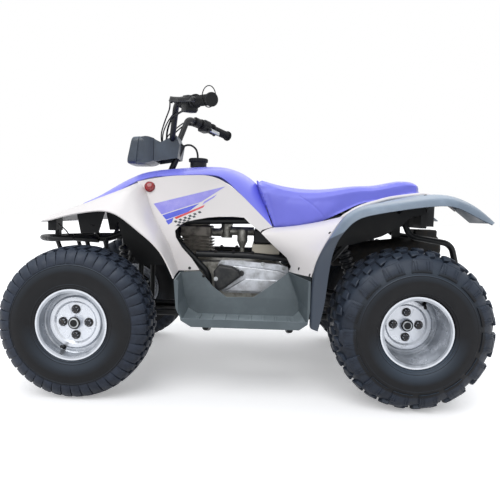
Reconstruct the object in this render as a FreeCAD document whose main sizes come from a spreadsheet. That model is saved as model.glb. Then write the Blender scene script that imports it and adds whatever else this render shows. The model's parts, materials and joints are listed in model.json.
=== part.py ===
import FreeCAD, Part
import math
import os
import Sketcher
from FreeCAD import Placement, Rotation, Vector

# A small two-wheel-drive quad bike: +X forward, +Y to the rider's left, +Z up, millimetres.
# The origin is on the ground under the middle of the outline.

# Driving dimensions: alias, millimetres, what it is
SIZES = [
    ("overall_length", 1620, "nose of the bumper to tip of the tail"),
    ("overall_width", 965, "outside of the rear tyres"),
    ("overall_height", 1000, "ground to the highest bend of the handlebar"),
    ("wheelbase", 1055, "front axle to rear axle"),
    ("front_overhang", 295.5, "front axle to the nose of the bumper"),
    ("front_width", 922, "outside of the front tyres"),
    ("front_tyre_radius", 241, "19 inch front tyre"),
    ("front_tyre_width", 178, "7 inch front tyre"),
    ("rear_tyre_radius", 252, "20 inch rear tyre"),
    ("rear_tyre_width", 254, "10 inch rear tyre"),
    ("front_lug_height", 6, "tread blocks of the front tyres"),
    ("rear_lug_height", 11, "lugs of the rear tyres"),
    ("rim_radius", 111, "outer lip of the 8 inch rims"),
    ("bead_radius", 102.7, "seat of the tyre beads"),
    ("bead_gap", 0.3, "tyre bead to rim"),
    ("rim_wall", 3.5, "steel of the rims"),
    ("front_rim_width", 160, "over the lips of the front rim"),
    ("rear_rim_width", 216, "over the lips of the rear rim"),
    ("front_dish", 43, "depth of the front hub face behind the lip"),
    ("rear_dish", 117, "depth of the rear hub face behind the lip"),
    ("disc_ring_radius", 74, "pressed ring round the wheel disc"),
    ("nut_circle_radius", 41, "circle of the wheel nuts"),
    ("nut_radius", 9, "wheel nut"),
    ("nut_height", 11, "wheel nut"),
    ("hub_cap_radius", 21.5, "dust cap of the hub"),
    ("hub_cap_height", 16, "dust cap of the hub"),
    ("flute_width", 5, "pressed flutes of the wheel discs"),
    ("flute_depth", 1.8, "pressed flutes of the wheel discs"),
    ("frame_tube_radius", 13, "main frame tubes"),
    ("side_tube_radius", 12, "frame tubes beside the engine"),
    ("brace_tube_radius", 10, "lighter frame tubes"),
    ("bar_tube_radius", 11, "handlebar, bumper and rear bar tubes"),
    ("skin", 3.5, "wall of the moulded body panels"),
    ("joint_gap", 0.3, "between panels that meet"),
    ("kingpin_inset", 72, "kingpin from the middle of the front tyre"),
    ("kingpin_radius", 9, "kingpin"),
    ("pin_gap", 0.05, "running clearance round pins and shafts"),
    ("stub_radius", 10, "front stub axle"),
    ("ear_height", 46, "axle centre to the fork ears that hold the kingpin"),
    ("ear_thickness", 8, "fork ears"),
    ("steer_arm", 55, "kingpin to the tie rod pin"),
    ("pitman_arm", 36.5, "steering column to the tie rod pin"),
    ("tie_height", 30, "axle centre to the tie rods"),
    ("rod_radius", 6, "tie rods"),
    ("rod_eye_radius", 11, "outer tie rod ends"),
    ("rod_eye_height", 9, "tie rod ends"),
    ("rod_pin_radius", 4.5, "tie rod pins"),
    ("rod_play", 6, "room round the inner tie rod pin"),
    ("pitman_drop", 22, "pitman plate above the tie rods"),
    ("plate_thickness", 6, "steel plates of the steering"),
    ("column_radius", 12, "steering column"),
    ("axle_radius", 14, "rear axle shaft"),
    ("axle_gap", 0.5, "rear axle shaft in its housing"),
    ("hub_radius", 52, "flange of the rear hubs"),
    ("hub_flange", 9, "thickness of the rear hub flanges"),
    ("housing_length", 300, "rear axle housing"),
    ("backing_inset", 21, "kingpin to the inner face of the brake backing plate"),
    ("backing_thickness", 6, "brake backing plate"),
    ("housing_radius", 30, "tube that carries the rear axle"),
    ("hitch_radius", 8, "hole for a trailer pin"),
    ("hitch_plate", 8, "thickness of the hitch plate"),
    ("grip_radius", 17, "rubber grips"),
    ("grip_length", 115, "rubber grips"),
    ("bearing_gap", 1.0, "between turning faces beside a bearing"),
    ("reflector_radius", 18, "side reflectors"),
    ("hose_radius", 3.8, "breather hose of the fuel cap"),
]

# Lengths of the bodywork that the outline tables are shares of
deck_share = 0.948
girth_share = 1.0363

doc = FreeCAD.newDocument("QuadBike")
sheet = doc.addObject("Spreadsheet::Sheet", "Sizes")
for row, (alias, value, what) in enumerate(SIZES, start=1):
    sheet.set(f"A{row}", what)
    sheet.set(f"B{row}", str(value))
    sheet.setAlias(f"B{row}", alias)
doc.recompute()


class Size:
    """A length from the sheet, or a sum of such lengths: its value and its expression."""

    def __init__(self, value, text):
        self.value = float(value)
        self.text = text

    def __float__(self):
        return self.value

    def __add__(self, other):
        return Size(self.value + float(other), f"({self.text} + {words(other)})")

    def __radd__(self, other):
        return Size(float(other) + self.value, f"({words(other)} + {self.text})")

    def __sub__(self, other):
        return Size(self.value - float(other), f"({self.text} - {words(other)})")

    def __rsub__(self, other):
        return Size(float(other) - self.value, f"({words(other)} - {self.text})")

    def __mul__(self, other):
        return Size(self.value * float(other), f"({self.text} * {words(other)})")

    __rmul__ = __mul__

    def __truediv__(self, other):
        return Size(self.value / float(other), f"({self.text} / {words(other)})")

    def __neg__(self):
        return Size(-self.value, f"(0 - {self.text})")


def words(value):
    """The expression of a size, or a plain number as text."""
    return value.text if isinstance(value, Size) else repr(float(value))


def size(alias):
    return Size(sheet.get(alias), f"Sizes.{alias}")


# Places that follow from the driving dimensions
front_axle_x = size("overall_length") / 2 - size("front_overhang")
rear_axle_x = front_axle_x - size("wheelbase")
middle_x = front_axle_x - size("wheelbase") / 2
front_axle_z = size("front_tyre_radius")
rear_axle_z = size("rear_tyre_radius")
front_wheel_y = size("front_width") / 2 - size("front_tyre_width") / 2
rear_wheel_y = size("overall_width") / 2 - size("rear_tyre_width") / 2
kingpin_y = front_wheel_y - size("kingpin_inset")
deck = size("wheelbase") * deck_share
girth = size("overall_width") * girth_share
rise = size("overall_height")
tie_z = front_axle_z + size("tie_height")
tie_pin_x = front_axle_x - size("steer_arm")
tube = float(size("frame_tube_radius"))
brace = float(size("brace_tube_radius"))
bar = float(size("bar_tube_radius"))
skin_wall = float(size("skin"))
gap = float(size("joint_gap"))
side_tube = float(size("side_tube_radius"))


def at(x, y, z):
    """A place on the bodywork, from shares of its length, width and height."""
    return Vector(float(middle_x + deck * x), float(girth * y), float(rise * z))


def span(share):
    """A length that follows the bodywork's length."""
    return float(deck * share)


nodes = []


def node(label, shape):
    """A sub-part whose shape is built from the sheet's values."""
    item = doc.addObject("Part::Feature", label)
    item.Label = label
    item.Shape = shape
    item.Placement = Placement()
    nodes.append(item)
    return item


def mirrored(shape):
    """The same shape on the other side of the middle plane."""
    return shape.mirror(Vector(0, 0, 0), Vector(0, 1, 0))


def both_sides(label, shape):
    node(label + "_left", shape)
    node(label + "_right", mirrored(shape))


def fitted(shape, *labels):
    """A shape coped round sub-parts that are already made."""
    there = {item.Label: item.Shape for item in nodes}
    for label in labels:
        shape = shape.cut(there[label])
    return shape


def seated(shape, *labels):
    """The main piece of a stay that ends where it meets sub-parts already made."""
    pieces = fitted(shape, *labels).Solids
    return max(pieces, key=lambda piece: piece.Volume)


def joined(shapes):
    """Touching or crossing solids as one solid."""
    whole = shapes[0].multiFuse(shapes[1:])
    return whole.removeSplitter()


def route(points, bend):
    """Straight runs joined by tangent arcs, as one wire."""
    edges = []
    start = points[0]
    for before, corner, after in zip(points, points[1:], points[2:]):
        back = (before - corner).normalize()
        ahead = (after - corner).normalize()
        half = back.getAngle(ahead) / 2
        trim = bend / math.tan(half)
        leave = corner + back * trim
        meet = corner + ahead * trim
        inward = (back + ahead).normalize()
        crown = corner + inward * (bend / math.sin(half) - bend)
        edges.append(Part.LineSegment(start, leave).toShape())
        edges.append(Part.Arc(leave, crown, meet).toShape())
        start = meet
    edges.append(Part.LineSegment(start, points[-1]).toShape())
    return Part.Wire(edges)


def bent_tube(points, radius, bend):
    """A round bar along a bent route."""
    path = route(points, bend)
    ring = Part.makeCircle(radius, points[0], points[1] - points[0])
    return path.makePipeShell([Part.Wire([ring])], True, False)


def rod(start, end, radius):
    """A round bar between two places."""
    return Part.makeCylinder(radius, (end - start).Length, start, end - start)


def knots(count, degree):
    """Clamped, evenly spaced knots and their multiplicities for a row of poles."""
    spans = count - degree
    return list(range(spans + 1)), [degree + 1] + [1] * (spans - 1) + [degree + 1]


def surface(grid):
    """A smooth face drawn towards a net of points, and through its corners."""
    rows, columns = len(grid), len(grid[0])
    row_degree = min(2, rows - 1)
    column_degree = min(2, columns - 1)
    row_knots, row_counts = knots(rows, row_degree)
    column_knots, column_counts = knots(columns, column_degree)
    face = Part.BSplineSurface()
    face.buildFromPolesMultsKnots(
        grid, row_counts, column_counts, row_knots, column_knots,
        False, False, row_degree, column_degree,
    )
    return face.toShape()


def panel(ribs, wall):
    """A moulded panel: a smooth face over the ribs, a second one a wall away, closed round."""
    last_rib = len(ribs) - 1
    last_point = len(ribs[0]) - 1
    inner_ribs = []
    for i, rib in enumerate(ribs):
        inner = []
        for j, point in enumerate(rib):
            along = ribs[min(i + 1, last_rib)][j] - ribs[max(i - 1, 0)][j]
            across = rib[min(j + 1, last_point)] - rib[max(j - 1, 0)]
            inner.append(point + along.cross(across).normalize() * wall)
        inner_ribs.append(inner)
    columns = [[rib[j] for rib in ribs] for j in (0, last_point)]
    inner_columns = [[rib[j] for rib in inner_ribs] for j in (0, last_point)]
    faces = [surface(ribs), surface(inner_ribs)]
    faces.append(surface([ribs[0], inner_ribs[0]]))
    faces.append(surface([ribs[last_rib], inner_ribs[last_rib]]))
    faces.append(surface([columns[0], inner_columns[0]]))
    faces.append(surface([columns[1], inner_columns[1]]))
    shell = Part.makeShell(faces)
    shell.sewShape()
    solid = Part.makeSolid(shell)
    if solid.Volume < 0:
        solid.reverse()
    return solid


def bezier(first, control, last, count):
    """Points along a three-point curve, ends included."""
    points = []
    for i in range(count):
        t = i / (count - 1)
        points.append(first * (1 - t) ** 2 + control * (2 * t * (1 - t)) + last * t ** 2)
    return points


def plate(outline, thickness):
    """A flat closed outline pushed straight out along the given vector."""
    wire = Part.makePolygon(outline + [outline[0]])
    return Part.Face(wire).extrude(thickness)


def loft(sections, ruled=False):
    """A solid through closed sections given as lists of points."""
    wires = [Part.makePolygon(points + [points[0]]) for points in sections]
    return Part.makeLoft(wires, True, ruled)


def box_between(low, high):
    """A box from its lowest to its highest corner."""
    return Part.makeBox(high.x - low.x, high.y - low.y, high.z - low.z, low)


def spring(foot, way, side, length, radius, turns):
    """A coil spring as one turned stack of rounded rings. side is square to its axis."""
    step = length / turns
    core = radius - step * 0.3
    outline = [foot]
    for turn in range(turns):
        level = foot + way * (step * turn)
        outline.append(level + side * core)
        outline.append(level + way * (step * 0.25) + side * radius)
        outline.append(level + way * (step * 0.60) + side * radius)
        outline.append(level + way * (step * 0.85) + side * core)
    outline.append(foot + way * length)
    face = Part.Face(Part.makePolygon(outline + [foot]))
    return face.revolve(foot, way, 360)


# Bodywork. Each table holds shares of the bodywork's length, width and height.

# Front mudguard, from the middle of the nose to the foot well: inner edge, crown, outer edge
flare_shares = [
    ((0.640, 0.000, 0.614), (0.745, 0.000, 0.596), (0.797, 0.000, 0.546)),
    ((0.625, 0.060, 0.613), (0.728, 0.070, 0.592), (0.776, 0.110, 0.547)),
    ((0.612, 0.110, 0.612), (0.692, 0.160, 0.587), (0.730, 0.215, 0.551)),
    ((0.599, 0.157, 0.609), (0.645, 0.240, 0.592), (0.672, 0.330, 0.556)),
    ((0.560, 0.160, 0.622), (0.592, 0.315, 0.605), (0.615, 0.415, 0.560)),
    ((0.520, 0.160, 0.637), (0.545, 0.325, 0.622), (0.570, 0.430, 0.572)),
    ((0.466, 0.160, 0.663), (0.490, 0.330, 0.644), (0.527, 0.430, 0.583)),
    ((0.425, 0.160, 0.687), (0.440, 0.320, 0.658), (0.478, 0.430, 0.592)),
    ((0.390, 0.161, 0.702), (0.400, 0.310, 0.660), (0.434, 0.430, 0.596)),
    ((0.368, 0.168, 0.670), (0.385, 0.320, 0.648), (0.398, 0.430, 0.587)),
    ((0.352, 0.178, 0.620), (0.355, 0.340, 0.618), (0.365, 0.430, 0.566)),
    ((0.330, 0.188, 0.570), (0.325, 0.350, 0.578), (0.325, 0.430, 0.534)),
    ((0.298, 0.197, 0.520), (0.285, 0.360, 0.530), (0.280, 0.430, 0.499)),
    ((0.265, 0.206, 0.462), (0.250, 0.370, 0.470), (0.242, 0.430, 0.453)),
    ((0.238, 0.212, 0.3895), (0.226, 0.375, 0.391), (0.216, 0.430, 0.392)),
]
# White side above the engine window, front to back: top, two places between, bottom.
# Its front edge laps behind the mudguard, so that the two make one moulding.
side_shares = [
    ((0.400, 0.158, 0.701), (0.364, 0.172, 0.617), (0.306, 0.193, 0.515), (0.246, 0.2115, 0.3895)),
    ((0.320, 0.160, 0.720), (0.290, 0.178, 0.617), (0.240, 0.198, 0.515), (0.200, 0.2125, 0.3910)),
    ((0.229, 0.160, 0.728), (0.210, 0.178, 0.617), (0.185, 0.198, 0.515), (0.160, 0.2125, 0.3940)),
    ((0.122, 0.160, 0.731), (0.100, 0.178, 0.617), (0.080, 0.198, 0.515), (0.060, 0.2125, 0.398)),
    ((0.040, 0.160, 0.676), (0.020, 0.178, 0.600), (0.000, 0.198, 0.510), (-0.020, 0.2125, 0.398)),
    ((-0.007, 0.160, 0.631), (-0.015, 0.176, 0.585), (-0.025, 0.190, 0.530), (-0.030, 0.2125, 0.430)),
    ((-0.089, 0.160, 0.550), (-0.068, 0.173, 0.544), (-0.046, 0.184, 0.538), (-0.030, 0.190, 0.500)),
]
# White panel behind the window, from the seat down: front, middle, back
rear_panel_shares = [
    ((-0.091, 0.162, 0.546), (-0.200, 0.160, 0.552), (-0.3435, 0.166, 0.594)),
    ((-0.044, 0.186, 0.534), (-0.190, 0.200, 0.548), (-0.3265, 0.255, 0.588)),
    ((-0.062, 0.192, 0.505), (-0.195, 0.250, 0.515), (-0.2935, 0.325, 0.562)),
    ((-0.105, 0.202, 0.465), (-0.195, 0.290, 0.475), (-0.2575, 0.380, 0.515)),
    ((-0.140, 0.208, 0.430), (-0.187, 0.308, 0.437), (-0.2275, 0.410, 0.466)),
    ((-0.151, 0.213, 0.400), (-0.180, 0.320, 0.400), (-0.2075, 0.424, 0.408)),
]
# Bonnet, nose first: edge, shoulder and crown
hood_shares = [
    ((0.599, 0.157, 0.6158), (0.622, 0.090, 0.622), (0.640, 0.000, 0.624)),
    ((0.560, 0.160, 0.6278), (0.575, 0.095, 0.643), (0.585, 0.000, 0.648)),
    ((0.520, 0.160, 0.6428), (0.533, 0.102, 0.667), (0.540, 0.000, 0.674)),
    ((0.466, 0.160, 0.6688), (0.474, 0.110, 0.702), (0.480, 0.000, 0.710)),
    ((0.425, 0.160, 0.6928), (0.428, 0.112, 0.724), (0.430, 0.000, 0.736)),
    ((0.390, 0.160, 0.7108), (0.391, 0.114, 0.738), (0.392, 0.000, 0.751)),
    ((0.336, 0.160, 0.7228), (0.336, 0.114, 0.747), (0.336, 0.000, 0.760)),
]
# Tank cover, front to back: edge, shoulder and crown
tank_shares = [
    ((0.3355, 0.160, 0.7228), (0.3355, 0.114, 0.747), (0.3355, 0.000, 0.760)),
    ((0.229, 0.160, 0.7308), (0.229, 0.120, 0.759), (0.229, 0.000, 0.772)),
    ((0.122, 0.160, 0.7338), (0.122, 0.125, 0.766), (0.122, 0.000, 0.776)),
    ((0.088, 0.160, 0.7208), (0.070, 0.125, 0.756), (0.059, 0.000, 0.769)),
    ((0.040, 0.160, 0.6788), (0.020, 0.128, 0.725), (0.005, 0.000, 0.748)),
    ((-0.007, 0.160, 0.6338), (-0.020, 0.130, 0.690), (-0.035, 0.000, 0.718)),
    ((-0.050, 0.160, 0.5918), (-0.058, 0.130, 0.640), (-0.070, 0.000, 0.670)),
    ((-0.089, 0.160, 0.5518), (-0.095, 0.130, 0.590), (-0.100, 0.000, 0.610)),
]
# Slanting joint of tank cover and seat, side view: length and height
seat_front_shares = ((-0.020, 0.740), (-0.090, 0.553))
seat_joint_share = 0.003
# How far the blocks that cut panels reach past them
cut_margin_share = 0.1
cut_width_share = 0.3
window_near_share = 0.1
# The seat from front to back: place, top, lower edge
seat_shares = [
    (0.010, 0.750, 0.540),
    (-0.090, 0.711, 0.543),
    (-0.190, 0.695, 0.550),
    (-0.300, 0.696, 0.586),
    (-0.410, 0.708, 0.640),
    (-0.520, 0.722, 0.664),
    (-0.585, 0.729, 0.679),
    (-0.628, 0.716, 0.685),
    (-0.660, 0.692, 0.687),
]
# Bow of the seat's tail, seen from above: its sides and its middle
seat_tail_shares = ((-0.608, 0.154), (-0.652, 0.0))
# Hollow of the seat's pan over the frame rails, side view
seat_pan_shares = [(0.060, 0.500), (0.060, 0.586), (-0.360, 0.6105), (-0.420, 0.6105), (-0.420, 0.500)]
# Half section of the seat: width share of the body, and depth share below the top
seat_section_shares = [(0.150, 1.0), (0.152, 0.28), (0.138, 0.10), (0.095, 0.02), (0.0, 0.0)]
# Rear mudguard wing, flap first: inner edge, two places between, crest, shoulder, lip
wing_shares = [
    ((-0.2095, 0.400, 0.252), (-0.2090, 0.410, 0.252), (-0.2085, 0.420, 0.252),
     (-0.2080, 0.431, 0.252), (-0.2120, 0.443, 0.249), (-0.230, 0.449, 0.245)),
    ((-0.2095, 0.400, 0.310), (-0.2090, 0.410, 0.310), (-0.2085, 0.420, 0.310),
     (-0.2080, 0.431, 0.310), (-0.2150, 0.443, 0.312), (-0.247, 0.449, 0.315)),
    ((-0.2095, 0.400, 0.385), (-0.2090, 0.410, 0.385), (-0.2085, 0.420, 0.385),
     (-0.2080, 0.431, 0.385), (-0.2170, 0.443, 0.390), (-0.254, 0.449, 0.395)),
    ((-0.2240, 0.400, 0.440), (-0.2210, 0.410, 0.442), (-0.2170, 0.420, 0.444),
     (-0.2140, 0.431, 0.446), (-0.2240, 0.443, 0.448), (-0.259, 0.449, 0.440)),
    ((-0.2620, 0.376, 0.512), (-0.2520, 0.395, 0.510), (-0.2450, 0.412, 0.506),
     (-0.2380, 0.427, 0.498), (-0.2420, 0.441, 0.494), (-0.266, 0.449, 0.484)),
    ((-0.2920, 0.330, 0.555), (-0.2840, 0.365, 0.556), (-0.2760, 0.395, 0.552),
     (-0.2680, 0.420, 0.542), (-0.2680, 0.440, 0.532), (-0.279, 0.449, 0.522)),
    ((-0.3250, 0.262, 0.585), (-0.3160, 0.320, 0.594), (-0.3060, 0.380, 0.594),
     (-0.2980, 0.418, 0.588), (-0.2960, 0.440, 0.575), (-0.304, 0.449, 0.559)),
    ((-0.3600, 0.165, 0.600), (-0.3470, 0.280, 0.614), (-0.3320, 0.380, 0.616),
     (-0.3260, 0.420, 0.611), (-0.3230, 0.441, 0.600), (-0.329, 0.449, 0.584)),
    ((-0.4030, 0.160, 0.626), (-0.3850, 0.280, 0.632), (-0.3640, 0.380, 0.633),
     (-0.3600, 0.422, 0.628), (-0.3600, 0.442, 0.617), (-0.362, 0.450, 0.600)),
    ((-0.4730, 0.160, 0.650), (-0.4700, 0.280, 0.652), (-0.4660, 0.380, 0.650),
     (-0.4620, 0.424, 0.645), (-0.4600, 0.443, 0.636), (-0.458, 0.450, 0.619)),
    ((-0.5450, 0.158, 0.668), (-0.5450, 0.280, 0.669), (-0.5440, 0.380, 0.665),
     (-0.5420, 0.424, 0.659), (-0.5400, 0.443, 0.649), (-0.538, 0.450, 0.632)),
    ((-0.6150, 0.156, 0.681), (-0.6150, 0.280, 0.680), (-0.6130, 0.380, 0.674),
     (-0.6110, 0.424, 0.667), (-0.6090, 0.443, 0.656), (-0.607, 0.450, 0.638)),
    ((-0.6750, 0.155, 0.677), (-0.6740, 0.280, 0.674), (-0.6700, 0.380, 0.662),
     (-0.6640, 0.424, 0.652), (-0.6560, 0.443, 0.641), (-0.648, 0.449, 0.626)),
    ((-0.7350, 0.155, 0.637), (-0.7330, 0.280, 0.637), (-0.7280, 0.380, 0.630),
     (-0.7220, 0.420, 0.622), (-0.7120, 0.438, 0.612), (-0.700, 0.446, 0.600)),
    ((-0.7970, 0.155, 0.588), (-0.7900, 0.270, 0.588), (-0.7780, 0.365, 0.589),
     (-0.7650, 0.405, 0.590), (-0.7520, 0.423, 0.588), (-0.745, 0.432, 0.584)),
]
# Engine window through the white side and the footboard, side view
window_shares = [
    (0.256, 0.529), (0.237, 0.551), (0.217, 0.562), (0.186, 0.570), (0.141, 0.579),
    (0.073, 0.586), (0.012, 0.582), (-0.010, 0.561), (-0.042, 0.537), (-0.090, 0.491),
    (-0.141, 0.448), (-0.156, 0.419), (-0.152, 0.401), (-0.138, 0.384), (-0.077, 0.339),
    (-0.031, 0.306), (0.065, 0.303), (0.113, 0.338), (0.160, 0.389), (0.194, 0.435),
    (0.229, 0.471), (0.252, 0.506),
]


def half_rib(shares):
    return [at(*place) for place in shares]


def full_rib(shares):
    """Right edge to left edge through the crown."""
    left = half_rib(shares)
    right = [Vector(point.x, -point.y, point.z) for point in left]
    return right[:-1] + left[::-1]


def side_prism(outline, near, far):
    """A side-view outline of shares, standing between two lateral places."""
    points = [at(x, 0, z) for x, z in outline]
    base = [Vector(point.x, near, point.z) for point in points]
    return plate(base, Vector(0, far - near, 0))


def window_prism():
    """The engine window as a solid that cuts the left side's panels."""
    return side_prism(window_shares, float(girth * window_near_share), float(girth * cut_width_share))


def front_fender():
    left = [bezier(*half_rib(rib), 6) for rib in flare_shares]
    right = [[Vector(point.x, -point.y, point.z) for point in rib] for rib in left]
    saddle = panel(right[:0:-1] + left, skin_wall)
    cover = panel([half_rib(rib) for rib in side_shares], -skin_wall)
    cover = cover.cut(window_prism())
    node("front_fender", joined([saddle, cover, mirrored(cover)]))


def bonnet():
    hood = panel([full_rib(rib) for rib in hood_shares], skin_wall)
    tank = panel([full_rib(rib) for rib in tank_shares], skin_wall)
    slot = column_slot()
    node("hood", hood.cut(slot))
    node("tank_cover", tank.cut(slot).cut(beside_joint(-1, 0.0)))


def beside_joint(way, shift):
    """All that lies ahead of the joint between tank cover and seat, or behind it."""
    (top_x, top_z), (low_x, low_z) = seat_front_shares
    slant = (top_x - low_x) / (top_z - low_z)
    outline = [
        (top_x + slant * cut_margin_share - shift, top_z + cut_margin_share),
        (low_x - slant * cut_margin_share - shift, low_z - cut_margin_share),
        (low_x + way * cut_width_share, low_z - cut_margin_share),
        (low_x + way * cut_width_share, top_z + cut_margin_share),
    ]
    wide = float(girth * cut_width_share)
    return side_prism(outline, -wide, wide)


def column_slot():
    """Room round the steering column where it leaves the bonnet."""
    low = at(0.405, 0.0, 0.60)
    wide = float(girth * 0.052)
    long = span(0.125)
    high = float(rise * 0.3)
    return Part.makeBox(long, wide * 2, high, Vector(low.x - long, -wide, low.z))


def seat():
    sections = []
    for place, top, low in seat_shares:
        half = [at(place, y, top - (top - low) * depth) for y, depth in seat_section_shares]
        other = [Vector(point.x, -point.y, point.z) for point in half]
        sections.append(other[:-1] + half[::-1])
    half_pan = at(0, upper_rail_share, 0).y + tube + gap
    under = side_prism(seat_pan_shares, -half_pan, half_pan)
    (side_x, side_y), (tail_x, _) = seat_tail_shares
    left, tail, right = at(side_x, side_y, 0), at(tail_x, 0, 0), at(side_x, -side_y, 0)
    ahead = Vector(span(1), 0, 0)
    bow = Part.Wire([
        Part.Arc(left, tail, right).toShape(), Part.makePolygon([right, right + ahead, left + ahead, left]),
    ])
    inside_bow = Part.Face(bow).extrude(Vector(0, 0, float(rise)))
    node("seat", loft(sections).cut(beside_joint(1, seat_joint_share)).cut(under).common(inside_bow))


def rear_panels():
    ribs = [half_rib(rib) for rib in rear_panel_shares]
    both_sides("rear_panel", panel(ribs, skin_wall).cut(window_prism()))


def rear_fender():
    wing = panel([half_rib(rib) for rib in wing_shares], skin_wall)
    deck_ribs = [
        ((-0.420, 0.1595, 0.628), (-0.420, 0.080, 0.628), (-0.420, 0.000, 0.628)),
        ((-0.545, 0.1575, 0.664), (-0.545, 0.080, 0.664), (-0.545, 0.000, 0.664)),
        ((-0.615, 0.1555, 0.677), (-0.615, 0.080, 0.677), (-0.615, 0.000, 0.677)),
        ((-0.672, 0.1545, 0.676), (-0.672, 0.080, 0.650), (-0.672, 0.000, 0.642)),
    ]
    middle = panel([full_rib(rib) for rib in deck_ribs], skin_wall)
    node("rear_fender", Part.makeCompound([wing, mirrored(wing), middle]))


# Foot well, upwards: height, front and back at the inner wall, front and back outside, inner wall
board_shares = [
    (0.2415, 0.165, -0.172, 0.160, -0.175, 0.2390),
    (0.2600, 0.200, -0.192, 0.192, -0.201, 0.2360),
    (0.3000, 0.214, -0.188, 0.209, -0.207, 0.2300),
    (0.3940, 0.235, -0.151, 0.2165, -0.206, 0.2125),
]
board_edge_share = 0.430
board_lip_share = 0.267
board_gap_shares = (-0.203, 0.205)
board_slope_shares = [(0.100, 0.394), (0.300, 0.381), (0.300, 0.420), (0.100, 0.420)]


def board_form(inset):
    """The outside of the foot well, or its inside when inset."""
    sections = []
    for height, front_in, back_in, front_out, back_out, wall in board_shares:
        sections.append([
            at(front_in, wall, height) + Vector(-inset, inset, inset),
            at(front_out, board_edge_share, height) + Vector(-inset, -inset, inset),
            at(back_out, board_edge_share, height) + Vector(inset, -inset, inset),
            at(back_in, wall, height) + Vector(inset, inset, inset),
        ])
    return loft(sections, True)


def footboards():
    over_lip = at(0.0, board_edge_share, board_lip_share)
    back, front = [at(x, 0, 0).x for x in board_gap_shares]
    open_side = Part.makeBox(
        front - back - skin_wall * 2, skin_wall * 4, float(rise * 0.2),
        Vector(back + skin_wall, over_lip.y - skin_wall * 2, over_lip.z),
    )
    wide = float(girth)
    top = side_prism(board_slope_shares, -wide, wide)
    well = board_form(0).cut(board_form(skin_wall)).cut(open_side).cut(top)
    both_sides("footboard", well.cut(window_prism()))


# Frame

def share_tube(places, radius, bend):
    return bent_tube([at(*place) for place in places], radius, bend)


rail_share = 0.092
upper_rail_share = 0.120
floor_rail_share = 0.215
upper_rail_shares = [
    (0.640, rail_share, 0.487), (0.528, rail_share, 0.490), (0.340, 0.115, 0.560),
    (-0.100, upper_rail_share, 0.575), (-0.640, upper_rail_share, 0.618),
]
mid_rail_shares = [
    (0.187, 0.130, 0.444), (-0.010, 0.130, 0.443), (-0.300, 0.130, 0.424), (-0.440, 0.121, 0.590),
]
brace_shares = [
    (0.335, 0.116, 0.560), (0.140, 0.130, 0.373), (0.140, 0.112, 0.290), (0.140, 0.112, 0.210),
]
post_shares = [(0.400, rail_share, 0.215), (0.400, 0.106, 0.540)]
clamp_shares = [(0.201, 0.1258, 0.4315), (0.191, 0.1264, 0.422)]
stay_places = (0.120, -0.150)
mount_places = (-0.060, 0.140)
mount_shares = (0.015, 0.204, 0.2377)


def frame_base():
    """Both lower rails with the skid plate between them and the stays of the footboards."""
    left = rod(at(-0.330, rail_share, floor_rail_share), at(0.640, rail_share, floor_rail_share), tube)
    low = at(-0.250, -rail_share, floor_rail_share)
    high = at(0.440, rail_share, floor_rail_share)
    pan = Part.makeBox(
        high.x - low.x, high.y - low.y, skin_wall, Vector(low.x, low.y, low.z - tube)
    )
    stays = [
        share_tube([(x, -0.385, 0.2312), (x, -0.30, 0.209), (x, 0.30, 0.209), (x, 0.385, 0.2312)],
                   brace, span(0.05))
        for x in stay_places
    ]
    half, bottom, top = mount_shares
    mounts = [
        box_between(at(x - half, -rail_share, bottom), at(x + half, rail_share, top)) for x in mount_places
    ]
    node("frame_base", joined([left, mirrored(left), pan] + stays + mounts))


def frame_sides():
    both_sides("frame_upper", share_tube(upper_rail_shares, tube, span(0.09)))
    mid = share_tube(mid_rail_shares, side_tube, span(0.06))
    down = share_tube(brace_shares, side_tube, span(0.06))
    clamp = rod(at(*clamp_shares[0]), at(*clamp_shares[1]), side_tube * 1.3)
    both_sides("frame_mid", fitted(joined([mid, down, clamp]), "frame_upper_left", "frame_base"))


column_clamp_share = (0.2611, 0.0, 0.868)
pitman_pin = Vector(float(tie_pin_x), 0, float(tie_z + size("pitman_drop")))
pitman_reach = float(size("pitman_arm"))
clamp_way = at(*column_clamp_share) - pitman_pin
column_lean = math.atan2(-clamp_way.x, clamp_way.z) + math.asin(pitman_reach / clamp_way.Length)
column_up = Vector(-math.sin(column_lean), 0, math.cos(column_lean))
pitman_way = Vector(-math.cos(column_lean), 0, -math.sin(column_lean))
column_foot = pitman_pin - pitman_way * pitman_reach


def column_at(height_share):
    """The middle of the steering column where it passes a height."""
    climb = (float(rise * height_share) - column_foot.z) / column_up.z
    return column_foot + column_up * climb


def front_tower():
    """Posts, cross tube and the bush that carries the steering column."""
    post = rod(at(*post_shares[0]), at(*post_shares[1]), brace)
    cross = rod(at(0.400, -0.100, 0.440), at(0.400, 0.100, 0.440), brace)
    low, high = column_at(0.415), column_at(0.465)
    bush = rod(low, high, float(size("column_radius")) * 1.7)
    middle = column_at(0.440)
    arm = Part.makeBox(
        middle.x - at(0.400, 0, 0).x, brace * 4, brace * 1.6,
        Vector(at(0.400, 0, 0).x, -brace * 2, middle.z - brace * 0.8),
    )
    bore = rod(column_at(0.38), column_at(0.50), float(size("column_radius") + size("pin_gap")))
    tower = joined([post, mirrored(post), cross, bush, arm]).cut(bore)
    tower = fitted(tower, "frame_base", "frame_upper_left", "frame_upper_right")
    stay = rod(at(0.560, 0.092, 0.489), at(0.560, 0.1660, 0.545), brace * 0.8)
    stay = seated(stay, "frame_upper_left")
    node("front_tower", Part.makeCompound([tower, stay, mirrored(stay)]))


bumper_shares = [(0.652, 0.106, 0.488), (0.738, 0.108, 0.483), (0.784, 0.062, 0.482)]
bumper_nose_share = 0.018
bumper_leg_shares = [
    [(0.720, 0.100, 0.482), (0.700, 0.094, 0.420), (0.636, rail_share, 0.216)],
    [(0.607, 0.100, 0.482), (0.592, 0.096, 0.420), (0.560, rail_share, 0.216)],
]
bumper_cross_share = 0.756


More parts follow.
